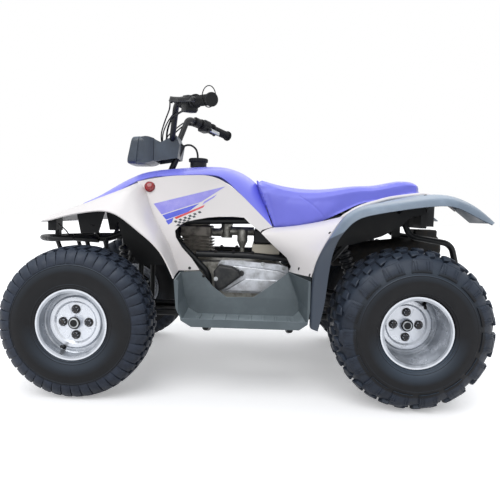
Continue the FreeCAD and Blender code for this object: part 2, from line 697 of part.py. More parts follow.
def front_bumper():
    """A hoop across the nose on four legs that stand on the lower rails."""
    nose = (float(size("overall_length")) / 2 - bar - float(middle_x)) / float(deck)
    level = bumper_shares[-1][2]
    left = bumper_shares + [(nose, bumper_nose_share, level)]
    right = [(x, -y, z) for x, y, z in left]
    hoop = share_tube(left + right[::-1], bar, span(0.03))
    legs = [share_tube(leg, brace * 0.8, span(0.06)) for leg in bumper_leg_shares]
    legs += [mirrored(leg) for leg in legs]
    rails = [rod(at(0.560, y, level), at(0.660, y, 0.487), bar * 0.9) for y in (0.103, -0.103)]
    cross = rod(at(bumper_cross_share, -0.1, level), at(bumper_cross_share, 0.1, level), brace * 0.8)
    frame = joined([hoop, cross] + legs + rails)
    node("front_bumper", seated(frame, "frame_base", "frame_upper_left", "frame_upper_right", "front_tower"))


def nose_box():
    """The block between bumper and mudguard, on a short post."""
    box = box_between(at(0.752, -0.030, 0.510), at(0.786, 0.030, 0.600))
    post = box_between(at(0.750, -0.014, 0.484), at(0.764, 0.014, 0.512))
    node("nose_box", seated(joined([box, post]), "front_bumper", "front_fender"))


# Black sheets inside the mudguards, side view
front_guard_shares = [
    (0.300, 0.400), (0.392, 0.400), (0.440, 0.465), (0.467, 0.522), (0.475, 0.575), (0.440, 0.620), (0.300, 0.620),
]
flap_shares = [
    (0.508, 0.660), (0.516, 0.588), (0.539, 0.512), (0.604, 0.510), (0.618, 0.580), (0.628, 0.660),
]
rear_guard_shares = [
    (-0.300, 0.480), (-0.300, 0.560), (-0.345, 0.588), (-0.420, 0.627), (-0.520, 0.652), (-0.600, 0.668),
    (-0.640, 0.668), (-0.640, 0.612), (-0.587, 0.600), (-0.554, 0.565), (-0.485, 0.527), (-0.380, 0.495),
]
guard_side_share = 0.147
flap_side_share = 0.165
guard_stud_shares = [(0.360, 0.110, 0.552), (-0.420, upper_rail_share, 0.6005), (-0.585, upper_rail_share, 0.6137)]


def inner_guards():
    """Sheets that shield frame and engine from the wheels, on studs from the upper rails."""
    near = float(girth * guard_side_share)
    sheets = [side_prism(outline, near, near + skin_wall) for outline in (front_guard_shares, rear_guard_shares)]
    studs = [
        rod(at(*place), Vector(at(*place).x, near + skin_wall / 2, at(*place).z), brace * 0.6)
        for place in guard_stud_shares
    ]
    front = joined([sheets[0], studs[0]])
    rear = joined([sheets[1]] + studs[1:])
    near = float(girth * flap_side_share)
    flap = seated(side_prism(flap_shares, near, near + skin_wall), "front_fender", "front_tower")
    front = seated(front, "frame_upper_left", "front_fender")
    node("front_guard", Part.makeCompound([front, flap, mirrored(front), mirrored(flap)]))
    rear = seated(rear, "frame_upper_left", "frame_mid_left", "frame_cross", "rear_fender", "seat")
    node("rear_guard", Part.makeCompound([rear, mirrored(rear)]))


def rear_bar():
    """The bent bar behind the axle, with the plate that a hitch pin goes through."""
    left = rear_bar_shares
    right = [(x, -y, z) for x, y, z in left]
    hoop = share_tube(left + right[::-1], bar, span(0.045))
    low, high = hitch_shares
    thick = float(size("hitch_plate"))
    tongue = box_between(at(*low), at(*high) + Vector(0, 0, thick))
    hole = at(hitch_place_share, 0, low[2])
    bore = Part.makeCylinder(float(size("hitch_radius")), thick * 3, hole - Vector(0, 0, thick))
    node("rear_bar", fitted(joined([hoop, tongue]), "frame_upper_left", "frame_upper_right").cut(bore))


rear_bar_shares = [
    (-0.560, upper_rail_share, 0.611), (-0.590, 0.138, 0.530), (-0.738, 0.145, 0.507), (-0.766, 0.145, 0.400),
]
hitch_shares = ((-0.768, -0.032, 0.396), (-0.710, 0.032, 0.396))
hitch_place_share = -0.730

front_fender()
bonnet()
seat()
rear_panels()
rear_fender()
footboards()
frame_base()
frame_sides()
front_tower()
front_bumper()
nose_box()
rear_bar()

# Engine

case_shares = [
    (-0.150, 0.300), (-0.100, 0.238), (0.180, 0.238), (0.232, 0.285),
    (0.240, 0.380), (0.200, 0.418), (-0.110, 0.418), (-0.150, 0.385),
]
belt_flange_shares = [
    (0.100, 0.418), (0.060, 0.424), (-0.120, 0.413), (-0.152, 0.403), (-0.158, 0.375),
    (-0.140, 0.325), (-0.095, 0.303), (0.080, 0.303), (0.112, 0.325), (0.118, 0.375),
]
belt_body_shares = [
    (0.092, 0.409), (0.030, 0.406), (-0.118, 0.392), (-0.144, 0.382),
    (-0.147, 0.366), (-0.130, 0.332), (-0.089, 0.312), (0.075, 0.312), (0.104, 0.331), (0.110, 0.372),
]
belt_pad_shares = [
    (0.078, 0.313), (0.004, 0.360), (-0.130, 0.357), (-0.142, 0.348), (-0.126, 0.330), (-0.086, 0.314),
]
starter_shares = [
    (0.100, 0.410), (0.050, 0.404), (0.026, 0.392), (0.018, 0.370),
    (0.076, 0.325), (0.100, 0.312), (0.114, 0.330), (0.118, 0.385),
]
starter_ear_share = (0.018, 0.379)
starter_ear_radius_share = 0.010
case_side_share = 0.100
flange_side_share = 0.134
belt_side_share = 0.150
pad_side_share = 0.157
starter_side_share = 0.186


def soft_front(shape, radius):
    """Rounds the outermost face of a cover."""
    outer = max(shape.Faces, key=lambda face: face.CenterOfMass.y)
    return shape.makeFillet(radius, outer.Edges)


def engine():
    near, far = float(girth * -case_side_share), float(girth * case_side_share)
    block = side_prism(case_shares, near, far)
    block = block.makeFillet(span(0.012), block.Edges)
    node("engine_block", block)
    flange_y, body_y, pad_y, starter_y = [
        float(girth * share)
        for share in (flange_side_share, belt_side_share, pad_side_share, starter_side_share)
    ]
    flange = side_prism(belt_flange_shares, far + gap, flange_y)
    body = soft_front(side_prism(belt_body_shares, far + gap, body_y), span(0.006))
    pad = soft_front(side_prism(belt_pad_shares, flange_y, pad_y), span(0.004))
    node("belt_case", joined([flange, body, pad]))
    cover = soft_front(side_prism(starter_shares, flange_y, starter_y), span(0.010))
    ear_x, ear_z = starter_ear_share
    ear = rod(
        Vector(at(ear_x, 0, 0).x, flange_y, at(0, 0, ear_z).z),
        Vector(at(ear_x, 0, 0).x, body_y + (pad_y - body_y) * 2, at(0, 0, ear_z).z),
        span(starter_ear_radius_share))
    node("starter_cover", fitted(joined([cover, ear]), "belt_case"))


fin_shares = (0.444, 0.456, 0.468, 0.480, 0.492)


def engine_cylinder():
    """Upright air-cooled barrel and head with level fins."""
    core = box_between(at(0.150, -0.045, 0.4185), at(0.250, 0.045, 0.506))
    fins = []
    for height in fin_shares:
        low = at(0.137, -0.064, height)
        fins.append(box_between(low, at(0.263, 0.064, height) + Vector(0, 0, skin_wall)))
    head = box_between(at(0.142, -0.060, 0.504), at(0.258, 0.060, 0.545))
    head = head.makeFillet(span(0.005), head.Edges)
    cover = box_between(at(0.156, -0.045, 0.542), at(0.244, 0.045, 0.566))
    cover = cover.makeFillet(span(0.008), cover.Edges)
    node("engine_cylinder", joined([core, head, cover] + fins))


def intake():
    """Manifold, carburettor and the duct back to the air box."""
    manifold = share_tube([(0.1415, 0.0, 0.520), (0.110, 0.0, 0.520), (0.080, 0.0, 0.540)], brace * 1.6, span(0.012))
    body = rod(at(0.085, 0.0, 0.500), at(0.085, 0.0, 0.575), float(girth * 0.022))
    duct = rod(at(0.085, 0.0, 0.527), at(-0.022, 0.0, 0.527), brace * 1.7)
    bowl = rod(at(0.021, 0.060, 0.492), at(0.021, 0.060, 0.536), float(girth * 0.020))
    taper = Part.makeCone(
        float(girth * 0.008), float(girth * 0.020), float(rise * 0.026), at(0.021, 0.060, 0.466), Vector(0, 0, 1))
    stem = rod(at(0.021, 0.060, 0.447), at(0.021, 0.060, 0.470), brace * 0.8)
    pipe = rod(at(0.021, 0.060, 0.520), at(0.021, 0.010, 0.527), brace * 0.6)
    knob = rod(at(0.075, 0.015, 0.556), at(0.075, 0.062, 0.559), float(girth * 0.015))
    node("intake", joined([manifold, body, duct, bowl, taper, stem, pipe, knob]))


def air_box():
    upper = box_between(at(-0.250, -0.085, 0.484), at(-0.0225, 0.100, 0.539))
    lower = box_between(at(-0.120, -0.085, 0.4465), at(-0.018, 0.113, 0.4835))
    node("air_box", upper.makeFillet(span(0.008), upper.Edges))
    node("battery_box", lower.makeFillet(span(0.004), lower.Edges))


muffler_shares = ((-0.335, -0.078, 0.436), (-0.772, -0.078, 0.486))
muffler_radius_share = 0.046
shield_shares = ((-0.757, -0.120, 0.500), (-0.663, -0.044, 0.552))


def exhaust():
    start, end = at(*muffler_shares[0]), at(*muffler_shares[1])
    radius = float(girth * muffler_radius_share)
    can = rod(start, end, radius)
    can = can.makeFillet(radius * 0.3, [edge for edge in can.Edges if edge.Curve.TypeId == "Part::GeomCircle"])
    shield = box_between(at(*shield_shares[0]), at(*shield_shares[1]))
    shield = shield.makeFillet(span(0.008), shield.Edges)
    node("muffler", joined([can, shield]))
    pipe = share_tube(
        [(0.2585, -0.020, 0.518), (0.320, -0.045, 0.500), (0.325, -0.110, 0.400), (0.240, -0.150, 0.330),
         (0.000, -0.155, 0.330), (-0.200, -0.130, 0.385), (-0.3345, -0.078, 0.436)],
        brace * 1.4, span(0.035))
    node("exhaust_pipe", fitted(pipe, "engine_cylinder", "muffler"))


engine()
engine_cylinder()
intake()
air_box()
exhaust()

# Suspension and steering

coil_turns = 7


def front_suspension():
    """A wishbone with the fork that holds the kingpin, and its spring unit."""
    x, y, z = float(front_axle_x), float(kingpin_y), float(front_axle_z)
    pivot_y = at(0, 0.120, 0).y
    pivot_z = at(0, 0, floor_rail_share).z
    half_base = span(0.080)
    ear = float(size("ear_height"))
    thick = float(size("ear_thickness"))
    pin = float(size("kingpin_radius"))
    arm_radius = brace * 1.1
    plate_y = y - pin * 4
    hinge = rod(Vector(x - half_base, pivot_y, pivot_z), Vector(x + half_base, pivot_y, pivot_z), brace * 1.3)
    root_z = z - ear - thick / 2
    legs = [
        rod(Vector(x + side * half_base * 0.9, pivot_y, pivot_z), Vector(x + side * pin * 0.4, plate_y, root_z),
            arm_radius)
        for side in (1, -1)
    ]
    web = Part.makeBox(pin * 2.2, pin * 1.1, ear * 2 + thick * 2,
                       Vector(x - pin * 1.1, plate_y - pin * 0.5, z - ear - thick))
    ears = [
        Part.makeBox(pin * 3, y - plate_y + pin * 1.5, thick, Vector(x - pin * 1.5, plate_y, level))
        for level in (z + ear, z - ear - thick)
    ]
    kingpin = rod(Vector(x, y, z - ear - thick), Vector(x, y, z + ear + thick), pin)
    seat_y = (pivot_y + plate_y) / 2 + pin * 2
    slope = (root_z - pivot_z) / (plate_y - pivot_y)
    foot = Vector(x, seat_y, pivot_z + slope * (seat_y - pivot_y) + arm_radius)
    tie_start = Vector(x - half_base * 0.4, seat_y, foot.z - arm_radius)
    tie = rod(tie_start, tie_start + Vector(half_base * 0.8, 0, 0), arm_radius)
    both_sides("front_arm", joined([hinge, web, kingpin, tie] + legs + ears))
    top = at(*upper_rail_shares[1]) + Vector(0, tube, 0)
    top.x = x
    way = (top - foot).normalize()
    long = (top - foot).Length
    lower = rod(foot, foot + way * long * 0.45, brace * 1.5)
    upper = rod(foot + way * long * 0.4, top, brace * 0.7)
    coil = spring(foot + way * long * 0.22, way, Vector(1, 0, 0), long * 0.64, brace * 2.3, coil_turns)
    both_sides("front_shock", fitted(joined([lower, upper, coil]), "front_arm_left", "frame_upper_left"))


def knuckle():
    x, y, z = float(front_axle_x), float(kingpin_y), float(front_axle_z)
    pin = float(size("kingpin_radius"))
    high = float(size("ear_height") - size("bearing_gap"))
    sleeve = rod(Vector(x, y, z - high), Vector(x, y, z + high), pin * 1.8)
    stub_end = float(front_wheel_y + size("front_rim_width") / 2 - size("front_dish"))
    stub = rod(Vector(x, y, z), Vector(x, stub_end, z), float(size("stub_radius")))
    inner = y + float(size("backing_inset"))
    outer = inner + float(size("backing_thickness"))
    back = rod(Vector(x, inner, z), Vector(x, outer, z), float(size("rim_radius")) * 0.6)
    neck = rod(Vector(x, y, z), Vector(x, outer, z), pin * 2)
    eye_top = float(tie_z + size("rod_eye_height") / 2 + size("bearing_gap"))
    thick = float(size("ear_thickness"))
    reach = float(size("steer_arm"))
    wide = pin
    outline = [
        Vector(x, y - wide, eye_top), Vector(x - reach - wide, y - wide, eye_top),
        Vector(x - reach - wide, y + wide, eye_top), Vector(x, y + wide, eye_top),
    ]
    arm = plate(outline, Vector(0, 0, thick))
    tie_pin = rod(
        Vector(x - reach, y, float(tie_z - size("rod_eye_height"))), Vector(x - reach, y, eye_top + thick),
        float(size("rod_pin_radius")))
    bore = rod(Vector(x, y, z - high * 2), Vector(x, y, z + high * 2), float(size("kingpin_radius") + size("pin_gap")))
    both_sides("knuckle", joined([sleeve, stub, back, neck, arm]).cut(bore).fuse(tie_pin))


def tie_rod(side, level):
    """From the knuckle's pin to the pitman pin, the inner eye one step up or down."""
    outer = Vector(float(tie_pin_x), side * float(kingpin_y), float(tie_z))
    inner = Vector(float(tie_pin_x), 0, float(tie_z) + level)
    high = float(size("rod_eye_height"))
    up = Vector(0, 0, high / 2)
    small = float(size("rod_pin_radius") + size("pin_gap"))
    large = float(size("rod_pin_radius") + size("rod_play"))
    wall = float(size("rod_eye_radius")) - small
    shank = rod(outer, inner, float(size("rod_radius")) * 0.8)
    shape = joined([shank, rod(outer - up, outer + up, small + wall), rod(inner - up, inner + up, large + wall * 0.8)])
    return shape.cut(rod(outer - up * 2, outer + up * 2, small)).cut(rod(inner - up * 2, inner + up * 2, large))


def tie_rods():
    step = float((size("rod_eye_height") + size("bearing_gap") * 2) / 2)
    node("tie_rod_left", tie_rod(1, step))
    node("tie_rod_right", tie_rod(-1, -step))


def steering_column():
    radius = float(size("column_radius"))
    thick = float(size("plate_thickness"))
    head = column_at(0.858)
    shaft = rod(column_foot - column_up * thick, head, radius)
    side = Vector(0, 1, 0)
    tip = column_foot + pitman_way * float(size("pitman_arm"))
    wide = float(size("rod_pin_radius")) * 2.2
    back = column_foot - pitman_way * radius
    front = tip + pitman_way * wide
    pitman = plate(
        [back + side * radius * 1.3, front + side * wide, front - side * wide, back - side * radius * 1.3],
        column_up * thick)
    pitman.translate(column_up * (-thick / 2))
    pin_low = Vector(tip.x, 0, float(tie_z - size("rod_eye_height") * 1.6))
    pin = rod(pin_low, tip, float(size("rod_pin_radius")))
    node("steering_column", joined([shaft, pitman, pin]))


bar_shares = [(0.119, 0.355, 0.952), (0.268, 0.138, 0.986), (0.296, 0.062, 0.868)]


def handlebar_shape(radius):
    left = [at(*place) for place in bar_shares]
    right = [Vector(point.x, -point.y, point.z) for point in left]
    return bent_tube(left + right[::-1], radius, span(0.040))


def handlebar():
    node("handlebar", handlebar_shape(bar))


def bar_place(share):
    """A place along the sloping outer part of the left half of the handlebar."""
    end, bend = at(*bar_shares[0]), at(*bar_shares[1])
    return end + (bend - end) * share


def grips():
    """Grip, lever and switch block of each side."""
    way = (bar_place(1) - bar_place(0)).normalize()
    long = float(size("grip_length"))
    radius = float(size("grip_radius"))
    out = bar_place(0) - way * bar * 0.4
    sleeve = rod(out, out + way * long, radius)
    flange = rod(out + way * long * 0.96, out + way * long * 1.03, radius * 1.35)
    cap = rod(out, out + way * long * 0.06, radius * 1.3)
    bore = rod(bar_place(0), bar_place(1), bar)
    low = bar_place(0.52)
    block = rod(low, bar_place(0.70), radius * 1.25)
    perch = rod(bar_place(0.74), bar_place(0.84), radius * 1.1)
    fore = Vector(0, 0, 1).cross(way).normalize() * -1
    if fore.x < 0:
        fore = fore * -1
    start = bar_place(0.79) + fore * radius * 0.5
    hinge = start + fore * radius * 1.6
    lever = bent_tube([start, hinge, hinge - way * long * 0.5 + fore * radius * 0.3,
                       hinge - way * long * 1.25 + fore * radius * 0.2], brace * 0.7, radius * 0.8)
    both_sides("grip", joined([sleeve, flange, cap, block, perch, lever]).cut(bore))


def headlamp():
    """A deep rectangular housing with a bowed face."""
    def ring(x_low, x_high, wide, low, high):
        return [
            at(x_low, -wide, low), at(x_low, wide, low), at(x_high, wide, high), at(x_high, -wide, high),
        ]
    rings = [
        (0.367, 0.366, 0.062, 0.788, 0.872), (0.382, 0.380, 0.070, 0.781, 0.876), (0.434, 0.414, 0.068, 0.778, 0.874),
    ]
    housing = loft([ring(*sizes) for sizes in rings])
    lens = loft([ring(0.434, 0.414, 0.0675, 0.7785, 0.8735), ring(0.448, 0.428, 0.056, 0.787, 0.864)])
    node("headlamp", housing.fuse(lens))


cover_side_share = 0.060
cover_shares = [
    (0.3655, 0.870), (0.340, 0.858), (0.283, 0.886), (0.268, 0.850), (0.276, 0.800), (0.306, 0.795), (0.3655, 0.785),
]
cover_room_shares = [
    (0.362, 0.866), (0.340, 0.854), (0.287, 0.880), (0.272, 0.850), (0.280, 0.780), (0.306, 0.780), (0.362, 0.780),
]


def bar_cover():
    """The wedge between lamp and handlebar, open underneath round the column."""
    wide = float(girth * cover_side_share)
    shell = side_prism(cover_shares, -wide, wide)
    hollow = side_prism(cover_room_shares, skin_wall - wide, wide - skin_wall)
    room = handlebar_shape(bar + gap)
    column = rod(column_at(0.70), column_at(0.95), float(size("column_radius")) + gap)
    node("bar_cover", shell.cut(hollow).cut(column).cut(room))


front_suspension()
knuckle()
tie_rods()
steering_column()
handlebar()
grips()
headlamp()
bar_cover()

# Wheels. A profile holds (across, radius) corners; four values are an arc's middle and end.

def put(item, x, y, z):
    """Tie an object's place to the sheet."""
    for axis, value in zip("xyz", (x, y, z)):
        item.setExpression(f"Placement.Base.{axis}", words(value))


def drawn(body, label, role, outline, turn=0):
    """A closed sketch whose every corner is tied to the sheet, turned about its own first axis."""
    sketch = body.newObject("Sketcher::SketchObject", label)
    plane = next(item for item in body.Origin.OriginFeatures if item.Role == role)
    sketch.AttachmentSupport = [(plane, "")]
    sketch.MapMode = "FlatFace"
    sketch.AttachmentOffset = Placement(Vector(0, 0, 0), Rotation(Vector(1, 0, 0), turn))
    corners = [Vector(float(step[-2]), float(step[-1]), 0) for step in outline]
    ends = []
    for i, step in enumerate(outline):
        start, end = corners[i - 1], corners[i]
        if len(step) == 4:
            through = Vector(float(step[0]), float(step[1]), 0)
            edge = sketch.addGeometry(Part.Arc(start, through, end), False)
            forward = sketch.getPoint(edge, 1).distanceToPoint(start) < gap
            ends.append((edge, 1, 2) if forward else (edge, 2, 1))
            spot = sketch.addGeometry(Part.Point(through), True)
            lock(sketch, spot, 1, step[0], step[1])
            sketch.addConstraint(Sketcher.Constraint("PointOnObject", spot, 1, edge))
        else:
            edge = sketch.addGeometry(Part.LineSegment(start, end), False)
            ends.append((edge, 1, 2))
    for i, (edge, start, end) in enumerate(ends):
        following, first, last = ends[(i + 1) % len(ends)]
        sketch.addConstraint(Sketcher.Constraint("Coincident", edge, end, following, first))
        lock(sketch, edge, end, outline[i][-2], outline[i][-1])
    return sketch


def lock(sketch, edge, end, across, up):
    """Tie one corner of a sketch to the sheet."""
    for kind, value, axis in (("DistanceX", across, -2), ("DistanceY", up, -1)):
        if float(value) == 0:
            sketch.addConstraint(Sketcher.Constraint("PointOnObject", edge, end, axis))
        else:
            place = sketch.addConstraint(Sketcher.Constraint(kind, edge, end, float(value)))
            sketch.setExpression(f"Constraints[{place}]", words(value))


def turned(label, outline):
    """A body turned about the axis across the vehicle."""
    body = doc.addObject("PartDesign::Body", label)
    sketch = drawn(body, label + "_profile", "YZ_Plane", outline)
    turn = body.newObject("PartDesign::Revolution", label + "_turned")
    turn.Profile = sketch
    turn.ReferenceAxis = (sketch, ["H_Axis"])
    turn.Angle = 360
    sketch.Visibility = False
    return body


def repeated(body, feature, axis, count):
    """A feature of a wheel, set evenly round its axle."""
    ring = body.newObject("PartDesign::PolarPattern", feature.Label + "_ring")
    ring.Originals = [feature]
    ring.Axis = axis
    ring.Angle = 360
    ring.Occurrences = count
    ring.Refine = False
    body.Tip = ring


def blocks(body, label, outline, count, width_share, phase_share):
    """A row of tread blocks: a profile turned through a share of each pitch."""
    pitch = 360 / count
    sketch = drawn(body, f"{body.Label}_{label}_profile", "YZ_Plane", outline, pitch * phase_share)
    block = body.newObject("PartDesign::Revolution", f"{body.Label}_{label}")
    block.Profile = sketch
    block.ReferenceAxis = (sketch, ["H_Axis"])
    block.Midplane = True
    block.Angle = pitch * width_share
    block.Refine = False
    sketch.Visibility = False
    repeated(body, block, (sketch, ["H_Axis"]), count)


def kept(item, label):
    """An object of the document that is a sub-part itself."""
    item.Label = label
    nodes.append(item)


def wheel_pair(label, body, x, y, z):
    """The left wheel's piece on its axle, and the same piece turned half round on the right."""
    put(body, x, y, z)
    kept(body, label + "_left")
    doc.recompute()
    shape = body.Shape.copy()
    shape.rotate(Vector(float(x), 0, float(z)), Vector(0, 0, 1), 180)
    node(label + "_right", Part.makeCompound([shape]))


# Half a tyre's outline over the tips of its tread: share of half the width, and of the way from rim to tread.
# The tread starts at the fourth place, and the carcass under it lies one lug lower.
tyre_shares = [
    (0.93, 0.10), (0.99, 0.26), (1.00, 0.46), (0.97, 0.64), (0.91, 0.78), (0.78, 0.895), (0.54, 0.965), (0.26, 0.993),
]
tread_start = 4
# How far a tread block reaches under the carcass, in shares of its height
block_root_share = 1.6


def tread_place(width, radius, place, lower=0):
    """A place of the outline, lowered towards the carcass where it lies in the tread."""
    out, up = place
    tall = radius - size("rim_radius")
    return (width / 2 * out, size("rim_radius") + tall * up - lower)


def tyre_outline(width, radius, rim_width, lug):
    """The carcass of a fat low-pressure tyre over its bead seat."""
    bead = size("bead_radius") + size("bead_gap")
    rest = rim_width / 2 - size("rim_wall") - size("bead_gap")
    foot = size("rim_radius") + size("bead_gap") * 2
    wall = [tread_place(width, radius, place) for place in tyre_shares[:tread_start]]
    tread = [tread_place(width, radius, place, lug) for place in tyre_shares[tread_start:]]
    outside = wall + [(across * tread_draw_share, up) for across, up in tread]
    inside = [(-across, up) for across, up in outside[::-1]]
    return [(rest, bead), (rest, foot)] + outside + [(0, radius - lug)] + inside + [(-rest, foot), (-rest, bead)]


tread_draw_share = 0.985


def block_outline(width, radius, lug, places, side):
    """A tread block's section: its top on the tyre's outline, its root inside the carcass."""
    top = [tread_place(width, radius, place) for place in places]
    root = [(across * 0.94, up - lug * block_root_share) for across, up in top]
    return [(across * side, up) for across, up in top + root[::-1]]


# Rows of tread blocks: name, section on the outline, blocks a row, width and phase as shares of a pitch
front_blocks = [
    ("shoulder", [(0.955, 0.68), (0.91, 0.78), (0.78, 0.895), (0.56, 0.960)], 43, 0.84, 0.0),
    ("inner", [(0.48, 0.972), (0.08, 1.0)], 43, 0.66, 0.35),
]
rear_blocks = [
    ("lug", [(0.965, 0.655), (0.91, 0.78), (0.78, 0.895), (0.66, 0.930)], 15, 0.66, 0.0),
    ("edge", [(0.58, 0.955), (0.40, 0.980)], 30, 0.58, 0.30),
    ("knob", [(0.34, 0.985), (0.06, 1.0)], 30, 0.52, 0.80),
]
side_shift_share = 0.5


def treaded_tyre(label, width, radius, rim_width, lug, rows):
    """A carcass with its rows of blocks, the two shoulders half a pitch apart."""
    body = turned(label, tyre_outline(width, radius, rim_width, lug))
    for name, places, count, width_share, phase in rows:
        for side, word in ((1, "outer"), (-1, "inner")):
            shift = phase if side > 0 else phase + side_shift_share
            outline = block_outline(width, radius, lug, places, side)
            blocks(body, f"{name}_{word}", outline, count, width_share, shift)
    return body


def rim_outline(rim_width, dish, ring_height, back):
    """Barrel with its lips, pressed disc, ring and dust cap. back holds the hub side's corners."""
    wall = size("rim_wall")
    half = rim_width / 2
    lip = size("rim_radius")
    bead = size("bead_radius")
    inside = bead - wall
    face = half - dish
    ring = size("disc_ring_radius")
    slope = ring_height
    cap = size("hub_cap_radius")
    return [
        (-half, lip), (wall - half, lip), (wall - half, bead), (half - wall, bead), (half - wall, lip),
        (half, lip), (half, inside), (face + wall, inside), (face, inside - wall),
        (face, ring + slope * 2), (face + ring_height, ring + slope), (face + ring_height, ring - slope),
        (face, ring - slope * 2), (face, cap), (face + size("hub_cap_height") / 2, cap),
        (face + size("hub_cap_height"), cap - wall), (face + size("hub_cap_height"), 0),
    ] + back + [(-half, inside)]


ring_height_share = 0.08
nut_count = 4


flute_count = 8
flute_shares = (1.28, 0.80)


def rim(label, rim_width, dish, back):
    """The turned rim with its wheel nuts and the flutes pressed into its disc."""
    ring_height = size("disc_ring_radius") * ring_height_share
    body = turned(label, rim_outline(rim_width, dish, ring_height, back))
    face = rim_width / 2 - dish
    nut = body.newObject("Sketcher::SketchObject", label + "_nut")
    plane = next(item for item in body.Origin.OriginFeatures if item.Role == "XZ_Plane")
    nut.AttachmentSupport = [(plane, "")]
    nut.MapMode = "FlatFace"
    nut.setExpression("AttachmentOffset.Base.z", words(-face))
    nut_circle = size("nut_circle_radius")
    nut.addGeometry(Part.Circle(Vector(0, float(nut_circle), 0), Vector(0, 0, 1), float(size("nut_radius"))), False)
    nut.addConstraint(Sketcher.Constraint("PointOnObject", 0, 3, -2))
    place = nut.addConstraint(Sketcher.Constraint("DistanceY", 0, 3, float(nut_circle)))
    nut.setExpression(f"Constraints[{place}]", words(nut_circle))
    place = nut.addConstraint(Sketcher.Constraint("Radius", 0, float(size("nut_radius"))))
    nut.setExpression(f"Constraints[{place}]", words(size("nut_radius")))
    pad = body.newObject("PartDesign::Pad", label + "_nut_pad")
    pad.Profile = nut
    pad.Reversed = True
    pad.setExpression("Length", words(size("nut_height")))
    repeated(body, pad, (nut, ["N_Axis"]), nut_count)
    low, high = size("hub_cap_radius") * flute_shares[0], size("disc_ring_radius") * flute_shares[1]
    half = size("flute_width") / 2
    turn = math.pi / flute_count
    along, across = (math.sin(turn), math.cos(turn)), (math.cos(turn), -math.sin(turn))
    corners = [
        (reach * along[0] + half * way * across[0], reach * along[1] + half * way * across[1])
        for reach, way in ((low, -1), (low, 1), (high, 1), (high, -1))
    ]
    flute = drawn(body, label + "_flute", "XZ_Plane", corners)
    flute.setExpression("AttachmentOffset.Base.z", words(-face))
    pocket = body.newObject("PartDesign::Pocket", label + "_flute_pocket")
    pocket.Profile = flute
    pocket.Reversed = True
    pocket.setExpression("Length", words(size("flute_depth")))
    repeated(body, pocket, (flute, ["N_Axis"]), flute_count)
    return body


def front_hub_back():
    """Drum and bearing bore behind the disc of a front rim."""
    face = size("front_rim_width") / 2 - size("front_dish")
    wall = size("rim_wall")
    bore = size("stub_radius") + size("pin_gap")
    drum = size("rim_radius") * drum_share
    back = size("backing_inset") + size("backing_thickness") + size("bearing_gap") - size("kingpin_inset")
    return [
        (face + size("bearing_gap"), 0), (face + size("bearing_gap"), bore), (back, bore), (back, drum),
        (face - wall, drum), (face - wall, size("bead_radius") - wall),
    ]


drum_share = 0.56


def rear_hub_back():
    """Plain back of a rear disc, with a pocket over the end of the axle."""
    face = size("rear_rim_width") / 2 - size("rear_dish")
    wall = size("rim_wall")
    seat = size("axle_radius") + size("pin_gap")
    return [
        (face + size("bearing_gap"), 0), (face + size("bearing_gap"), seat), (face - wall, seat),
        (face - wall, size("bead_radius") - wall),
    ]


def wheels():
    front = (front_axle_x, front_wheel_y, front_axle_z)
    rear = (rear_axle_x, rear_wheel_y, rear_axle_z)
    tyre = treaded_tyre(
        "front_tyre", size("front_tyre_width"), size("front_tyre_radius"), size("front_rim_width"),
        size("front_lug_height"), front_blocks)
    wheel_pair("front_tyre", tyre, *front)
    tyre = treaded_tyre(
        "rear_tyre", size("rear_tyre_width"), size("rear_tyre_radius"), size("rear_rim_width"),
        size("rear_lug_height"), rear_blocks)
    wheel_pair("rear_tyre", tyre, *rear)
    wheel_pair("front_rim", rim("front_rim", size("front_rim_width"), size("front_dish"), front_hub_back()), *front)
    wheel_pair("rear_rim", rim("rear_rim", size("rear_rim_width"), size("rear_dish"), rear_hub_back()), *rear)


def rear_axle():
    """The shaft that both rear wheels turn with, its hubs and its brake disc."""
    face = rear_wheel_y + size("rear_rim_width") / 2 - size("rear_dish")
    back = face - size("rim_wall")
    shaft = size("axle_radius")
    hub = size("hub_radius")
    sleeve = size("housing_length") / 2 + size("bearing_gap")
    flange = size("hub_flange")
    body = turned("rear_axle", [
        (-face, 0), (-face, shaft), (-back, shaft), (-back, hub), (flange - back, hub),
        (flange - back, shaft * 1.6), (-sleeve, shaft * 1.6), (-sleeve, shaft),
        (sleeve, shaft), (sleeve, shaft * 1.6), (back - flange, shaft * 1.6), (back - flange, hub),
        (back, hub), (back, shaft), (face, shaft), (face, 0),
    ])
    put(body, rear_axle_x, 0, rear_axle_z)
    kept(body, "rear_axle")


